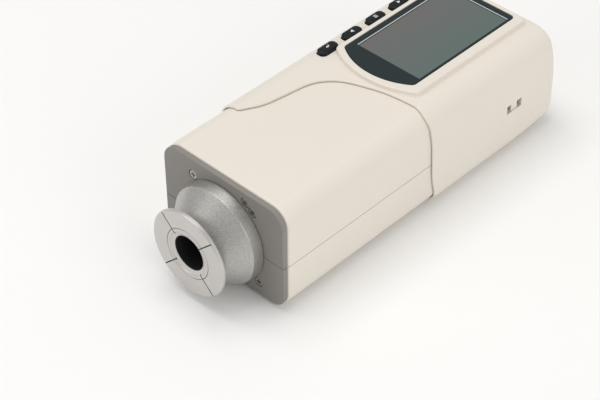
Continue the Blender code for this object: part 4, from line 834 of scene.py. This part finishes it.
def makeRing():
    high = body["reach"]
    ringRadius = disc["ringRadius"] - disc["groove"] / 2
    bevel = disc["aperture"] + disc["bevel"]
    tail = body["frontY"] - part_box("aperture_ring")[1].y
    step = disc["step"]
    profile = [
        (disc["tailRadius"], tail), (disc["tailRadius"], high - disc["thickness"]),
        (ringRadius, high - disc["thickness"]),
        (ringRadius, high - 0.0001), (ringRadius - 0.0001, high), (bevel + step, high),
        (bevel + step - disc["stepDepth"], high - disc["stepDepth"]), (bevel, high - disc["stepDepth"]),
        (disc["aperture"] + disc["boreBreak"], high - disc["bevelDepth"]),
        (disc["aperture"], high - disc["bevelDepth"] - disc["boreBreak"]),
        (disc["aperture"], tail),
    ]
    ring = turnedPiece("apertureRing", profile, dome["sides"], finish["disc"])
    combine(ring, lineBars("ringLine", bevel + step / 4, ringRadius + overrun, high), "DIFFERENCE")
    ring.data.materials.clear()
    ring.data.materials.append(finish["disc"])
    front = body["frontY"] - high + disc["lineReach"]
    inkFaces(ring, finish["ink"], lambda face: isLineFloor(face, high) and face.center.y < front)
    inkFaces(ring, finish["lining"], lambda face: isBore(face, disc["aperture"] * 1.02))
    finishPiece(ring, None, "root", ["aperture_ring"], 25)
    print("disc and ring made")


def isBore(face, radius):
    return math.hypot(face.center.x, face.center.z - body["axisZ"]) < radius


# Screws
screwKinds = {
    "plate": {"nodes": "plate_screw_", "count": 5, "head": 0.0021, "height": 0.0012, "shank": 0.0011,
              "flat": True,
              "facing": (0, 0, 0), "seed": 3},
    "case": {"nodes": "case_screw_", "count": 4, "head": 0.0023, "height": 0.0016, "shank": 0.0012,
             "flat": False,
             "facing": (quarter, 0, 0), "seed": 8},
    "cover": {"nodes": "cover_screw_", "count": 2, "head": 0.0018, "height": 0.0009, "shank": 0.0008,
              "flat": True,
              "facing": (quarter, 0, 0), "seed": 5},
}


def makeScrews(kind):
    facts = screwKinds[kind]
    names = [f"{facts['nodes']}{k + 1}" for k in range(facts["count"])]
    places, length = [], 0
    for name in names:
        low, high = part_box(name)
        middle = (low + high) / 2
        if facts["facing"][0]:
            places.append((middle.x, middle.y, low.z))
            length = high.z - low.z
        else:
            places.append((middle.x, low.y, middle.z))
            length = high.y - low.y
    head, height, shank = facts["head"], facts["height"], facts["shank"]
    rim = height / 5
    if facts["flat"]:
        top = [(head - rim / 3, 0), (head, -rim / 3), (head, -rim), (shank, -height)]
    else:
        top = [(head * 3 / 5, 0)] + roundCorner((0, 0), (head, 0), (head, -height), height * 3 / 5)
        top += [(head, -height), (shank, -height)]
    profile = polyline("screwProfile", [(0, 0)] + top + [(shank, -length + shank), (0, -length)], False)
    mesh = bpy.data.meshes.new(kind + "Screws")
    mesh.from_pydata(places, [], [])
    values = {"Profile": profile, "Sides": 40, "Recess Size": head * 1.25, "Recess Width": head * 0.27,
              "Recess Depth": height * 0.55, "Facing": facts["facing"], "Seed": facts["seed"],
              "Finish": finish["screw"]}
    screws = runTree(newObject(kind + "Screws", mesh), trees["screws"], values)
    bpy.data.objects.remove(profile)
    finishPiece(screws, finish["screw"], "root", names)
    print(kind, "screws made:", len(names))


# End plates
plate = {"inset": 0.0004, "bore": 0.0189, "round": 0.0005, "roundSteps": 5}


def plateHalf(name, upper):
    outline, edge = gripOutline(upper)
    side = 1 if upper else -1
    corner = grip["edgeBreak"]
    rings = []

    def ring(inset, depth):
        points = [(x - nx * inset, z - nz * inset) for x, z, nx, nz in outline]
        ends = [(x - math.copysign(corner, x), edge) for x, z in (points[0], points[-1])]
        return [(x, body["frontY"] + depth, z) for x, z in [ends[0]] + points + [ends[1]]]

    for k in range(plate["roundSteps"] + 1):
        turn = k / plate["roundSteps"] * quarter
        inset = plate["inset"] + plate["round"] * (1 - math.sin(turn))
        rings.append(ring(inset, plate["round"] * (1 - math.cos(turn))))
    rings.append(ring(plate["inset"], grip["plateThickness"]))
    made = loftRings(name, rings)
    radius, back = plate["bore"], -grip["plateThickness"] - overrun
    bore = [(radius + gap, overrun), (radius + gap, 0), (radius, -gap), (radius, back)]
    profile = [(0, overrun)] + bore + [(0, back)]
    tools = [turnedPiece(name + "Bore", profile, dome["sides"], None, False)]
    head = screwKinds["plate"]["head"]
    for k in range(screwKinds["plate"]["count"]):
        low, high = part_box(f"plate_screw_{k + 1}")
        middle = (low + high) / 2
        if (middle.z > body["splitZ"]) == upper:
            rings = []
            sink = low.y - body["frontY"]
            shank = screwKinds["plate"]["shank"] + gap
            levels = ((head + 2 * gap, -overrun), (head + 1.3 * gap, 0), (head + gap, gap / 2),
                      (head + gap, sink + gap), (shank, sink + screwKinds["plate"]["height"] + gap),
                      (shank, grip["plateThickness"] + overrun))
            for radius, depth in levels:
                points = arcPoints(middle.x, middle.z, radius, 0, 4 * quarter, 40)[:-1]
                rings.append([(x, body["frontY"] + depth, z) for x, z in points])
            tools.append(loftRings(f"{name}Seat{k}", rings))
    combine(made, tools, "DIFFERENCE")
    node = "end_plate_upper" if upper else "end_plate_lower"
    # The end plate's finish carries painted shade in its darkened grey
    finishPiece(made, finish["plate"], "root", [node])


# Head housing
headShape = {
    "edge": 0.0005, "edgeSteps": 5, "tailDepth": 0.15, "endSideRadius": 0.0084, "endTopRadius": 0.0045,
    "lean": 0.0098,
    "leanFrom": 0.0213, "tailRise": 0.0035, "endSteps": 16, "capShares": (0.12, 0.25, 0.4, 0.6, 0.8),
    "tailSteps": 8, "innerSteps": 4,
}
pad = {
    "width": 0.0494, "centre": 0.0003, "front": 0.0859, "sagitta": 0.0075, "rear": 0.1693, "radius": 0.004,
    "fillet": 0.0014, "round": 0.0008, "steps": 8, "rimRound": 0.00035,
}
glass = {"width": 0.0404, "centre": -0.0008, "front": 0.0901, "sagitta": 0.0068, "rear": 0.1658,
         "radius": 0.0022,
         "edge": 0.00025}
screen = {"width": 0.0366, "length": 0.061, "start": 0.1018, "line": 0.0009, "lineGap": 0.0005,
          "openingMargin": 0.002, "inlayLift": 0.00001}
lanyard = {"start": 0.1428, "length": 0.0101, "low": 0.0241, "height": 0.0046, "bar": 0.0043,
           "barStart": 0.0035,
           "barSink": 0.0007}


def bendTail(x, depth, z):
    share = max(0, (depth - headShape["tailDepth"]) / (body["length"] - headShape["tailDepth"]))
    z += headShape["tailRise"] * share**2 * (1 - z / body["headHigh"])
    lean = max(0, (z - headShape["leanFrom"]) / (body["headHigh"] - headShape["leanFrom"]))
    return x, body["frontY"] + depth - headShape["lean"] * share**2 * lean**2, z


def endRadius(nx, nz, inset):
    up = headShape["endTopRadius"] if nz > 0 else headShape["endSideRadius"]
    return headShape["endSideRadius"] * nx**2 + up * nz**2 - inset * 4 / 5


def tailRings(columns, inset, steps):
    rings = []
    for k in range(steps + 1):
        turn = k / steps * quarter
        ring = []
        for x, z, nx, nz in columns:
            radius = endRadius(nx, nz, inset)
            drop = inset + radius * (1 - math.cos(turn))
            depth = body["length"] - inset - radius * (1 - math.sin(turn))
            ring.append(bendTail(x - nx * drop, depth, z - nz * drop))
        rings.append(ring)
    for share in headShape["capShares"]:
        ring = []
        for x, z, nx, nz in columns:
            drop = inset + endRadius(nx, nz, inset)
            px, pz = x - nx * drop, z - nz * drop
            ring.append(bendTail(px * (1 - share), body["length"] - inset, pz + (body["axisZ"] - pz) * share))
        rings.append(ring)
    return rings


def headSkin():
    columns = sectionColumns(body["headHalf"], 0, body["headHigh"], body["headLowRadius"],
                             body["headTopRadius"],
                             wave["samples"])
    seams = [seamDepth(x, z) for x, z, nx, nz in columns]
    lip = body["headStep"] - gap
    joint = body["spigotDepth"] + gap
    edge, wall = headShape["edge"], body["wall"]

    def ring(inset, depths):
        return [bendTail(x - nx * inset, d, z - nz * inset) for (x, z, nx, nz), d in zip(columns, depths)]

    outer = [ring(lip - gap / 2, seams)]
    for k in range(headShape["edgeSteps"] + 1):
        turn = k / headShape["edgeSteps"] * quarter
        outer.append(ring(edge * (1 - math.sin(turn)), [s + edge * (1 - math.cos(turn)) for s in seams]))
    for share in (0.15, 0.5):
        outer.append(ring(0, [s + (joint - s) * share for s in seams]))
    outer.append(ring(0, [joint] * len(columns)))
    bendStart = headShape["tailDepth"]
    for k in range(headShape["tailSteps"]):
        # The tail's bend starts gently, so its straight stretch is cut finely
        depths = []
        for x, z, nx, nz in columns:
            end = body["length"] - endRadius(nx, nz, 0)
            depths.append(bendStart + (end - bendStart) * k / headShape["tailSteps"])
        outer.append(ring(0, depths))
    outer += tailRings(columns, 0, headShape["endSteps"])
    inner = [ring(lip, [s + edge for s in seams]), ring(lip, [joint] * len(columns))]
    inner += [ring(wall, [joint] * len(columns)), ring(wall, [bendStart] * len(columns))]
    inner += tailRings(columns, wall, headShape["innerSteps"])
    work = bmesh.new()
    rows = [[work.verts.new(point) for point in points] for points in inner[::-1] + outer]
    for first, second in zip(rows, rows[1:]):
        for k in range(len(first)):
            n = (k + 1) % len(first)
            work.faces.new((first[k], first[n], second[n], second[k]))
    for row, depth in ((rows[0], body["length"] - wall), (rows[-1], body["length"])):
        centre = work.verts.new(bendTail(0, depth, body["axisZ"]))
        for k in range(len(row)):
            work.faces.new((row[k], row[(k + 1) % len(row)], centre))
    return newObject("headShell", meshFrom("headShell", work))


def archedOutline(shape, grow, frontSteps=40, cornerSteps=10):
    # An outline with a bowed front edge and round corners, grown outwards by a margin
    half = shape["width"] / 2
    bow = (half**2 + shape["sagitta"]**2) / (2 * shape["sagitta"]) + grow
    half += grow
    radius = shape["radius"] + grow
    middle = body["frontY"] + shape["front"] - grow + bow
    reach = bow - radius
    turn = math.asin((half - radius) / reach)
    filletY = middle - reach * math.cos(turn)
    centre = shape["centre"]
    turns = [-turn + 2 * turn * k / frontSteps for k in range(1, frontSteps)]
    x = half - radius
    back = body["frontY"] + shape["rear"] + grow - radius
    points = arcPoints(centre - x, filletY, radius, -2 * quarter, -quarter - turn, cornerSteps)
    points += [(centre + bow * math.sin(a), middle - bow * math.cos(a)) for a in turns]
    points += arcPoints(centre + x, filletY, radius, -quarter + turn, 0, cornerSteps)
    points += arcPoints(centre + x, back, radius, 0, quarter, cornerSteps)
    points += arcPoints(centre - x, back, radius, quarter, 2 * quarter, cornerSteps)
    return points


def raisedPad():
    high = body["headHigh"]
    low, foot = high - body["wall"] / 2, high - overrun / 6
    rings = [[(x, y, z) for x, y in archedOutline(pad, 0)] for z in (low, foot)]
    steps = pad["steps"]
    for k in range(steps + 1):
        turn = k / steps * quarter
        grow = -pad["fillet"] * math.sin(turn) / 2
        rise = overrun / 6 + (pad["fillet"]) * (1 - math.cos(turn))
        rings.append([(x, y, high + rise) for x, y in archedOutline(pad, grow)])
    for k in range(1, steps + 1):
        turn = k / steps * quarter
        grow = -pad["fillet"] / 2 - pad["round"] * (1 - math.cos(turn))
        rise = body["padRaise"] - pad["round"] * (1 - math.sin(turn))
        rings.append([(x, y, high + rise) for x, y in archedOutline(pad, grow)])
    return loftRings("raisedPad", rings)


def glassRecess():
    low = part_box("display_window")[0].z - gap
    top, lead = body["padTop"], pad["rimRound"]
    rings = []
    levels = ((0, low), (0, top - lead), (lead / 4, top - lead / 3), (lead, top), (lead, top + overrun))
    for grow, z in levels:
        rings.append([(x, y, z) for x, y in archedOutline(glass, gap + grow)])
    return loftRings("glassRecess", rings)


keyShape = {"flange": 0.0009, "flangeHeight": 0.0007, "round": 0.0007, "roundSteps": 7,
            "cornerSteps": 14, "lead": 0.00035, "signHeight": 0.00004,
            "crown": 0.00015}
keyIcons = {"key_enter": "enter", "key_down": "down", "key_up": "list", "key_menu": "up"}
keyBodies = {"key_enter": "enter", "key_down": "down", "key_menu": "menu", "key_up": "up"}


def keyFace(node):
    low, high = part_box(node)
    flange = keyShape["flange"]
    width, length = high.x - low.x - 2 * flange, high.y - low.y - 2 * flange
    return (low.x + high.x) / 2, (low.y + high.y) / 2, high.z, width, length


def keyOutline(node, grow):
    x, y, top, width, length = keyFace(node)
    width, length = width + 2 * grow, length + 2 * grow
    return roundedOutline(width, length, min(width, length) * 9 / 20, keyShape["cornerSteps"], (x, y))


def keyCuts():
    found = []
    ceiling = body["headHigh"] - body["wall"]
    low = ceiling - body["headTopRadius"] / 2
    lead = keyShape["lead"]
    for node in keyIcons:
        rings = []
        high = body["headHigh"]
        for grow, z in ((gap, low), (gap, high - lead), (gap + lead / 4, high - lead / 3),
                        (gap + lead, body["headHigh"]), (gap + lead, body["padTop"] + overrun)):
            rings.append([(x, y, z) for x, y in keyOutline(node, grow)])
        found.append(loftRings(node + "Hole", rings))
        room = [[(x, y, z) for x, y in keyOutline(node, keyShape["flange"] + gap)] for z in (low, ceiling)]
        found.append(loftRings(node + "Room", room))
    return found


def iconPrisms(node, icon):
    # Small generic signs, as outlines of (along the key, across it) in units of the key's width
    x, y, top, width, length = keyFace(node)
    unit = width / 5
    bars = {
        "list": [[(-0.8, v - 0.16), (0.8, v - 0.16), (0.8, v + 0.16), (-0.8, v + 0.16)]
                 for v in (-0.7, 0, 0.7)],
        "up": [[(-0.8, -0.9), (0.8, 0), (-0.8, 0.9)]],
        "down": [[(0.8, 0.9), (-0.8, 0), (0.8, -0.9)]],
        "enter": [[(-0.9, 0), (-0.1, -0.7), (-0.1, -0.2), (0.6, -0.2), (0.6, -0.8), (0.95, -0.8),
                   (0.95, 0.2), (-0.1, 0.2),
                   (-0.1, 0.7)]],
    }[icon]
    crown = keyShape["crown"]
    found = []
    for k, outline in enumerate(bars):
        points = [(x + v * unit, y + u * unit) for u, v in outline]
        low, high = top - crown, top + keyShape["signHeight"] - crown / 4
        found.append(prism(f"{node}Icon{k}", points, low, high))
    return found


def makeKeys():
    high = body["headHigh"]
    flangeTop = high - body["wall"] - gap
    for node, icon in keyIcons.items():
        top = keyFace(node)[2] - keyShape["crown"] / 2
        flange, flangeLow = keyShape["flange"], flangeTop - keyShape["flangeHeight"]
        levels = [(flange, flangeLow), (flange, flangeTop), (0, flangeTop)]
        radius = keyShape["round"]
        for k in range(keyShape["roundSteps"] + 1):
            turn = k / keyShape["roundSteps"] * quarter
            rise = radius * (1 - math.sin(turn))
            levels.append((-radius * (1 - math.cos(turn)), top - keyShape["crown"] - rise))
        width = keyFace(node)[3]
        for share in (0.35, 0.7):
            grow = -radius - (width / 2 - radius) * share * 0.9
            levels.append((grow, top - keyShape["crown"] * (1 - share) ** 2))
        key = loftRings(node + "Cap", [[(x, y, z) for x, y in keyOutline(node, grow)] for grow, z in levels])
        key.data.materials.append(finish["rubber"])
        signs = iconPrisms(node, icon)
        for sign in signs:
            sign.data.materials.append(finish["icon"])
        joinObjects(key, signs)
        finishPiece(key, None, keyBodies[node], [node])
    print("keys made:", len(keyIcons))


def joinObjects(target, others):
    # Adds the others' meshes to the target, each with its own material
    work = bmesh.new()
    work.from_mesh(target.data)
    materials = list(target.data.materials)
    for other in others:
        start = len(work.faces)
        work.from_mesh(other.data)
        work.faces.ensure_lookup_table()
        material = other.data.materials[0]
        if material not in materials:
            materials.append(material)
        for face in work.faces[start:]:
            face.material_index = materials.index(material)
        bpy.data.objects.remove(other)
    for material in materials[len(target.data.materials):]:
        target.data.materials.append(material)
    work.to_mesh(target.data)
    work.free()
    return target


def lanyardCuts():
    outer = body["headHalf"] + overrun
    through = body["wall"] + 2 * overrun
    rearStart = lanyard["barStart"] + lanyard["bar"]
    spans = ((0, lanyard["barStart"], through), (rearStart, lanyard["length"], through),
             (lanyard["barStart"] - overrun, rearStart + overrun, overrun + lanyard["barSink"]))
    middleZ = lanyard["low"] + lanyard["height"] / 2
    found = []
    for k, (start, end, deep) in enumerate(spans):
        middleY = body["frontY"] + lanyard["start"] + (start + end) / 2
        size = (deep, end - start, lanyard["height"])
        found.append(boxObject(f"lanyard{k}", size, (outer - deep / 2, middleY, middleZ)))
    return found


def socketCut():
    low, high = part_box("usb_socket")
    size = (high.x - low.x + 2 * gap, 6 * overrun + body["wall"], high.z - low.z + 2 * gap)
    rings = []
    for k, y in enumerate((high.y - size[1], high.y + 4 * overrun)):
        points = roundedOutline(size[0], size[2], size[2] / 4, 8, (0, (low.z + high.z) / 2))
        rings.append([(x, y, z) for x, z in points])
    return loftRings("socketCut", rings)


bay = {"rim": 0.005, "rimHeight": 0.0065, "coverThickness": 0.002, "coverRadius": 0.003, "lead": 0.0003,
       "grooveCount": 6, "groovePitch": 0.0014, "grooveWidth": 0.0006, "grooveDepth": 0.0003,
       "grooveLength": 0.016, "seatSides": 40}


def bayCuts():
    low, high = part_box("battery_cover")
    centre = ((low.x + high.x) / 2, (low.y + high.y) / 2)
    width, length = high.x - low.x, high.y - low.y
    rings = []
    wide = gap + bay["lead"]
    for grow, z in ((wide, -overrun), (wide, 0), (gap, bay["lead"]), (gap, bay["coverThickness"] + gap)):
        outline = roundedOutline(width + 2 * grow, length + 2 * grow, bay["coverRadius"] + grow, 10, centre)
        rings.append([(x, y, z) for x, y in outline])
    recess = loftRings("bayRecess", rings)
    inner = [(width - 2 * bay["rim"] + 2 * gap), (length - 2 * bay["rim"] + 2 * gap)]
    outline = roundedOutline(*inner, bay["coverRadius"], 10, centre)
    opening = prism("bayOpening", outline, -overrun, bay["rimHeight"] + overrun)
    return recess, opening


def bayRim():
    low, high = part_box("battery_cover")
    centre = ((low.x + high.x) / 2, (low.y + high.y) / 2)
    size = (high.x - low.x + body["wall"], high.y - low.y + body["wall"])
    outline = roundedOutline(*size, bay["coverRadius"], 10, centre)
    return prism("bayRim", outline, body["wall"] / 2, bay["rimHeight"])


def makeCover():
    low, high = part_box("battery_cover")
    centre = ((low.x + high.x) / 2, (low.y + high.y) / 2)
    width, length = high.x - low.x, high.y - low.y
    lead = bay["lead"]
    rings = []
    for grow, z in ((-lead, 0), (-lead / 4, lead / 4), (0, lead), (0, bay["coverThickness"])):
        outline = roundedOutline(width + 2 * grow, length + 2 * grow, bay["coverRadius"] + grow, 10, centre)
        rings.append([(x, y, z) for x, y in outline])
    cover = loftRings("batteryCover", rings)
    tools = []
    for k in range(screwKinds["cover"]["count"]):
        screwLow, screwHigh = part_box(f"cover_screw_{k + 1}")
        facts = screwKinds["cover"]
        rings = []
        head, shank = facts["head"], facts["shank"] + gap
        for radius, z in ((head + 2 * gap, -overrun), (head + 1.4 * gap, 0), (head + gap, gap),
                          (shank, gap + facts["height"] + gap), (shank, bay["coverThickness"] + overrun)):
            middle = (screwLow + screwHigh) / 2
            circle = circlePoints(middle.x, middle.y, radius, bay["seatSides"])
            rings.append([(x, y, z) for x, y in circle])
        tools.append(loftRings(f"coverSeat{k}", rings))
    first = Vector((centre[0], centre[1] - bay["groovePitch"] * (bay["grooveCount"] - 1) / 2, 0))
    size = (bay["grooveLength"], bay["grooveWidth"], 2 * bay["grooveDepth"])
    tools.append(barsInRow("coverGrooves", bay["grooveCount"], first, (0, bay["groovePitch"], 0), size, None))
    combine(cover, tools, "DIFFERENCE")
    finishPiece(cover, finish["cream"], "root", ["battery_cover"])
    print("battery cover made")


def makeHead():
    head = headSkin()
    combine(head, [raisedPad(), bayRim()], "UNION")
    lcdLow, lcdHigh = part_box("lcd_module")
    margin = screen["openingMargin"]
    size = (screen["width"] + margin, screen["length"] + margin, body["wall"] * 3)
    opening = boxObject("screenOpening", size,
                        (0, (lcdLow.y + lcdHigh.y) / 2, body["headHigh"] - body["wall"] / 2))
    tools = [glassRecess(), opening, *keyCuts(), *lanyardCuts(), socketCut(), buttonHole("headButtonHole"),
             buttonDish(),
             *slideCuts(), *bayCuts()]
    side = body["gripHalf"] - caseScrew["inset"]
    for k, x in enumerate((-side, side)):
        tools.append(screwSeat(f"headSeat{k}", x, caseScrew["rearDepth"], body["gripLow"] + body["wall"]))
    combine(head, tools, "DIFFERENCE")
    finishPiece(head, finish["cream"], "root", ["head_housing"])
    print("head housing made")


def makeWindow():
    # One flush cover: a printed border, a thin painted highlight line along two sides of the screen and the
    # grey screen
    low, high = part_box("display_window")
    edge = glass["edge"]
    rings = []
    for grow, z in ((0, low.z), (0, high.z - edge), (-edge / 4, high.z - edge / 4), (-edge, high.z)):
        rings.append([(x, y, z) for x, y in archedOutline(glass, grow)])
    window = loftRings("displayWindow", rings)
    start, end = body["frontY"] + screen["start"], body["frontY"] + screen["start"] + screen["length"]
    far, near = -screen["width"] / 2, screen["width"] / 2
    line, lineGap = screen["line"], screen["lineGap"]
    panels = [
        ("screen", (far + lineGap + line, near, start, end - lineGap - line)),
        # These two light lines are painted highlights on the screen's far and rear edges
        ("edge", (far + lineGap * 0.6, far + lineGap * 0.6 + line * 0.6, start, end - lineGap * 0.6)),
        ("edge", (far + lineGap * 0.6, near, end - lineGap * 0.6 - line * 0.6, end - lineGap * 0.6)),
    ]
    window.data.materials.append(finish["border"])
    inlays = []
    for k, (name, (x0, x1, y0, y1)) in enumerate(panels):
        lift = screen["inlayLift"] * (k + 1)
        size, middle = (x1 - x0, y1 - y0, edge), ((x0 + x1) / 2, (y0 + y1) / 2, high.z - edge / 2 + lift)
        panel = boxObject(f"inlay{k}", size, middle)
        panel.data.materials.append(finish[name])
        inlays.append(panel)
    joinObjects(window, inlays)
    finishPiece(window, None, "root", ["display_window"])
    print("window made")


socket = {"wall": 0.0005, "tongue": (0.0056, 0.0055, 0.0007), "contactCount": 8, "contactWidth": 0.0003,
          "contactProud": 0.0001}


def makeSocket():
    low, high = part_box("usb_socket")
    width, height = high.x - low.x, high.z - low.z
    centre = (0, (low.z + high.z) / 2)
    wall = socket["wall"]

    def ring(inset, y):
        wide, tall = width - 2 * inset, height - 2 * inset
        outline = roundedOutline(wide, tall, tall * 9 / 20, 10, centre)
        return [(x, y, z) for x, z in outline]

    rings = [ring(0, low.y), ring(0, high.y - wall / 3), ring(wall / 3, high.y), ring(wall * 2 / 3, high.y),
             ring(wall, high.y - wall / 3), ring(wall, low.y + 2 * wall)]
    shell = loftRings("usbSocket", rings)
    shell.data.materials.append(finish["shell"])
    size = socket["tongue"]
    middleY = low.y + wall + size[1] / 2
    tongue = boxObject("socketTongue", size, (0, middleY, centre[1]))
    tongue.data.materials.append(finish["black"])
    pitch = size[0] / (socket["contactCount"] + 1)
    first = (-pitch * (socket["contactCount"] - 1) / 2, middleY + size[1] / 5, centre[1])
    bar = (socket["contactWidth"], size[1] / 2, size[2] + socket["contactProud"])
    contacts = barsInRow("socketContacts", socket["contactCount"], first, (pitch, 0, 0), bar, finish["gold"])
    joinObjects(shell, [tongue, contacts])
    finishPiece(shell, None, "root", ["usb_socket"])
    print("socket made")


# Inner pieces keep their solids and get their finish
innerFinish = {
    "sphere_front": "lining", "sphere_rear": "lining", "sensor_barrel": "black", "collecting_lens": "screen",
    "sensor_board": "board", "sensor_chip": "black", "lamp": "lamp", "lamp_board": "board",
    "optics_bracket": "black",
    "main_board": "board", "shield_can": "shell", "battery_pack": "wrap", "display_board": "board",
    "lcd_module": "screen", "key_switch_1": "black", "key_switch_2": "black", "key_switch_3": "black",
    "key_switch_4": "black", "measure_switch": "black", "measure_board": "board",
    "power_switch_body": "shell",
}


def dressInner():
    for name, kind in innerFinish.items():
        materials = nodes[name].data.materials
        materials.clear()
        materials.append(finish[kind])
    print("inner pieces dressed:", len(innerFinish))


makeGrip()
makeHead()
plateHalf("endPlateTop", True)
plateHalf("endPlateFloor", False)
makeDome()
makeDisc()
makeRing()
for screwKind in screwKinds:
    makeScrews(screwKind)
makeKeys()
makeWindow()
makeButton()
makeSlide()
makeCover()
makeSocket()
dressInner()


# Floor, light and camera
studio = {
    "floorSize": 3.0,
    "world": 0.55,
    "lights": (
        {"name": "keyLight", "place": (-0.25, -0.05, 1.2), "size": 0.8, "power": 6.2,
         "colour": (1.0, 0.985, 0.965)},
        {"name": "fillLight", "place": (1.0, -0.1, 0.45), "size": 0.8, "power": 2.9,
         "colour": (1.0, 0.985, 0.96)},
        {"name": "frontLight", "place": (-0.5, -1.0, 0.5), "size": 0.6, "power": 1.7,
         "colour": (1.0, 0.98, 0.97)},
    ),
}
shot = {"azimuth": 43.98, "elevation": 41.512, "roll": -0.244, "place": (0.4078, -0.4570, 0.5322),
        "lens": 107.6, "sensor": 36}


def makeFloor():
    mesh = bpy.data.meshes.new("floor")
    half = studio["floorSize"] / 2
    corners = [(-half, -half, 0), (half, -half, 0), (half, half, 0), (-half, half, 0)]
    mesh.from_pydata(corners, [], [(0, 1, 2, 3)])
    floor = newObject("floor", mesh)
    made, tree, shader, place = startMaterial("paleFloor")
    tone = mixColour(tree, noise(tree, place, 3, 2), (0.93, 0.93, 0.92), (0.95, 0.95, 0.945))
    tree.links.new(tone, shader.inputs["Base Color"])
    shader.inputs["Roughness"].default_value = 0.9
    mesh.materials.append(made)


def makeLights():
    world = bpy.data.worlds.new("studioWorld")
    world.use_nodes = True
    background = world.node_tree.nodes["Background"]
    background.inputs["Color"].default_value = (1, 1, 1, 1)
    background.inputs["Strength"].default_value = studio["world"]
    bpy.context.scene.world = world
    for facts in studio["lights"]:
        data = bpy.data.lights.new(facts["name"], "AREA")
        data.energy = facts["power"]
        data.size = facts["size"]
        data.color = facts["colour"]
        lamp = newObject(facts["name"], data)
        lamp.location = facts["place"]
        lamp.rotation_euler = (-Vector(facts["place"])).to_track_quat("-Z", "Y").to_euler()


def makeCamera():
    azimuth, elevation, roll = (math.radians(shot[k]) for k in ("azimuth", "elevation", "roll"))
    right = Vector((math.cos(azimuth), math.sin(azimuth), 0))
    flat = math.cos(elevation)
    back = Vector((math.sin(azimuth) * flat, -math.cos(azimuth) * flat, math.sin(elevation)))
    up = back.cross(right)
    turnedRight = right * math.cos(roll) + up * math.sin(roll)
    turnedUp = up * math.cos(roll) - right * math.sin(roll)
    data = bpy.data.cameras.new("camera")
    data.lens = shot["lens"]
    data.sensor_width = shot["sensor"]
    camera = newObject("camera", data)
    matrix = Matrix((turnedRight, turnedUp, back)).transposed().to_4x4()
    matrix.translation = shot["place"]
    camera.matrix_world = matrix
    bpy.context.scene.camera = camera


makeFloor()
makeLights()
makeCamera()
bpy.context.scene.view_settings.view_transform = "Standard"
print("floor, lights and camera set")

for leftover in [m for m in bpy.data.meshes if not m.users]:
    bpy.data.meshes.remove(leftover)
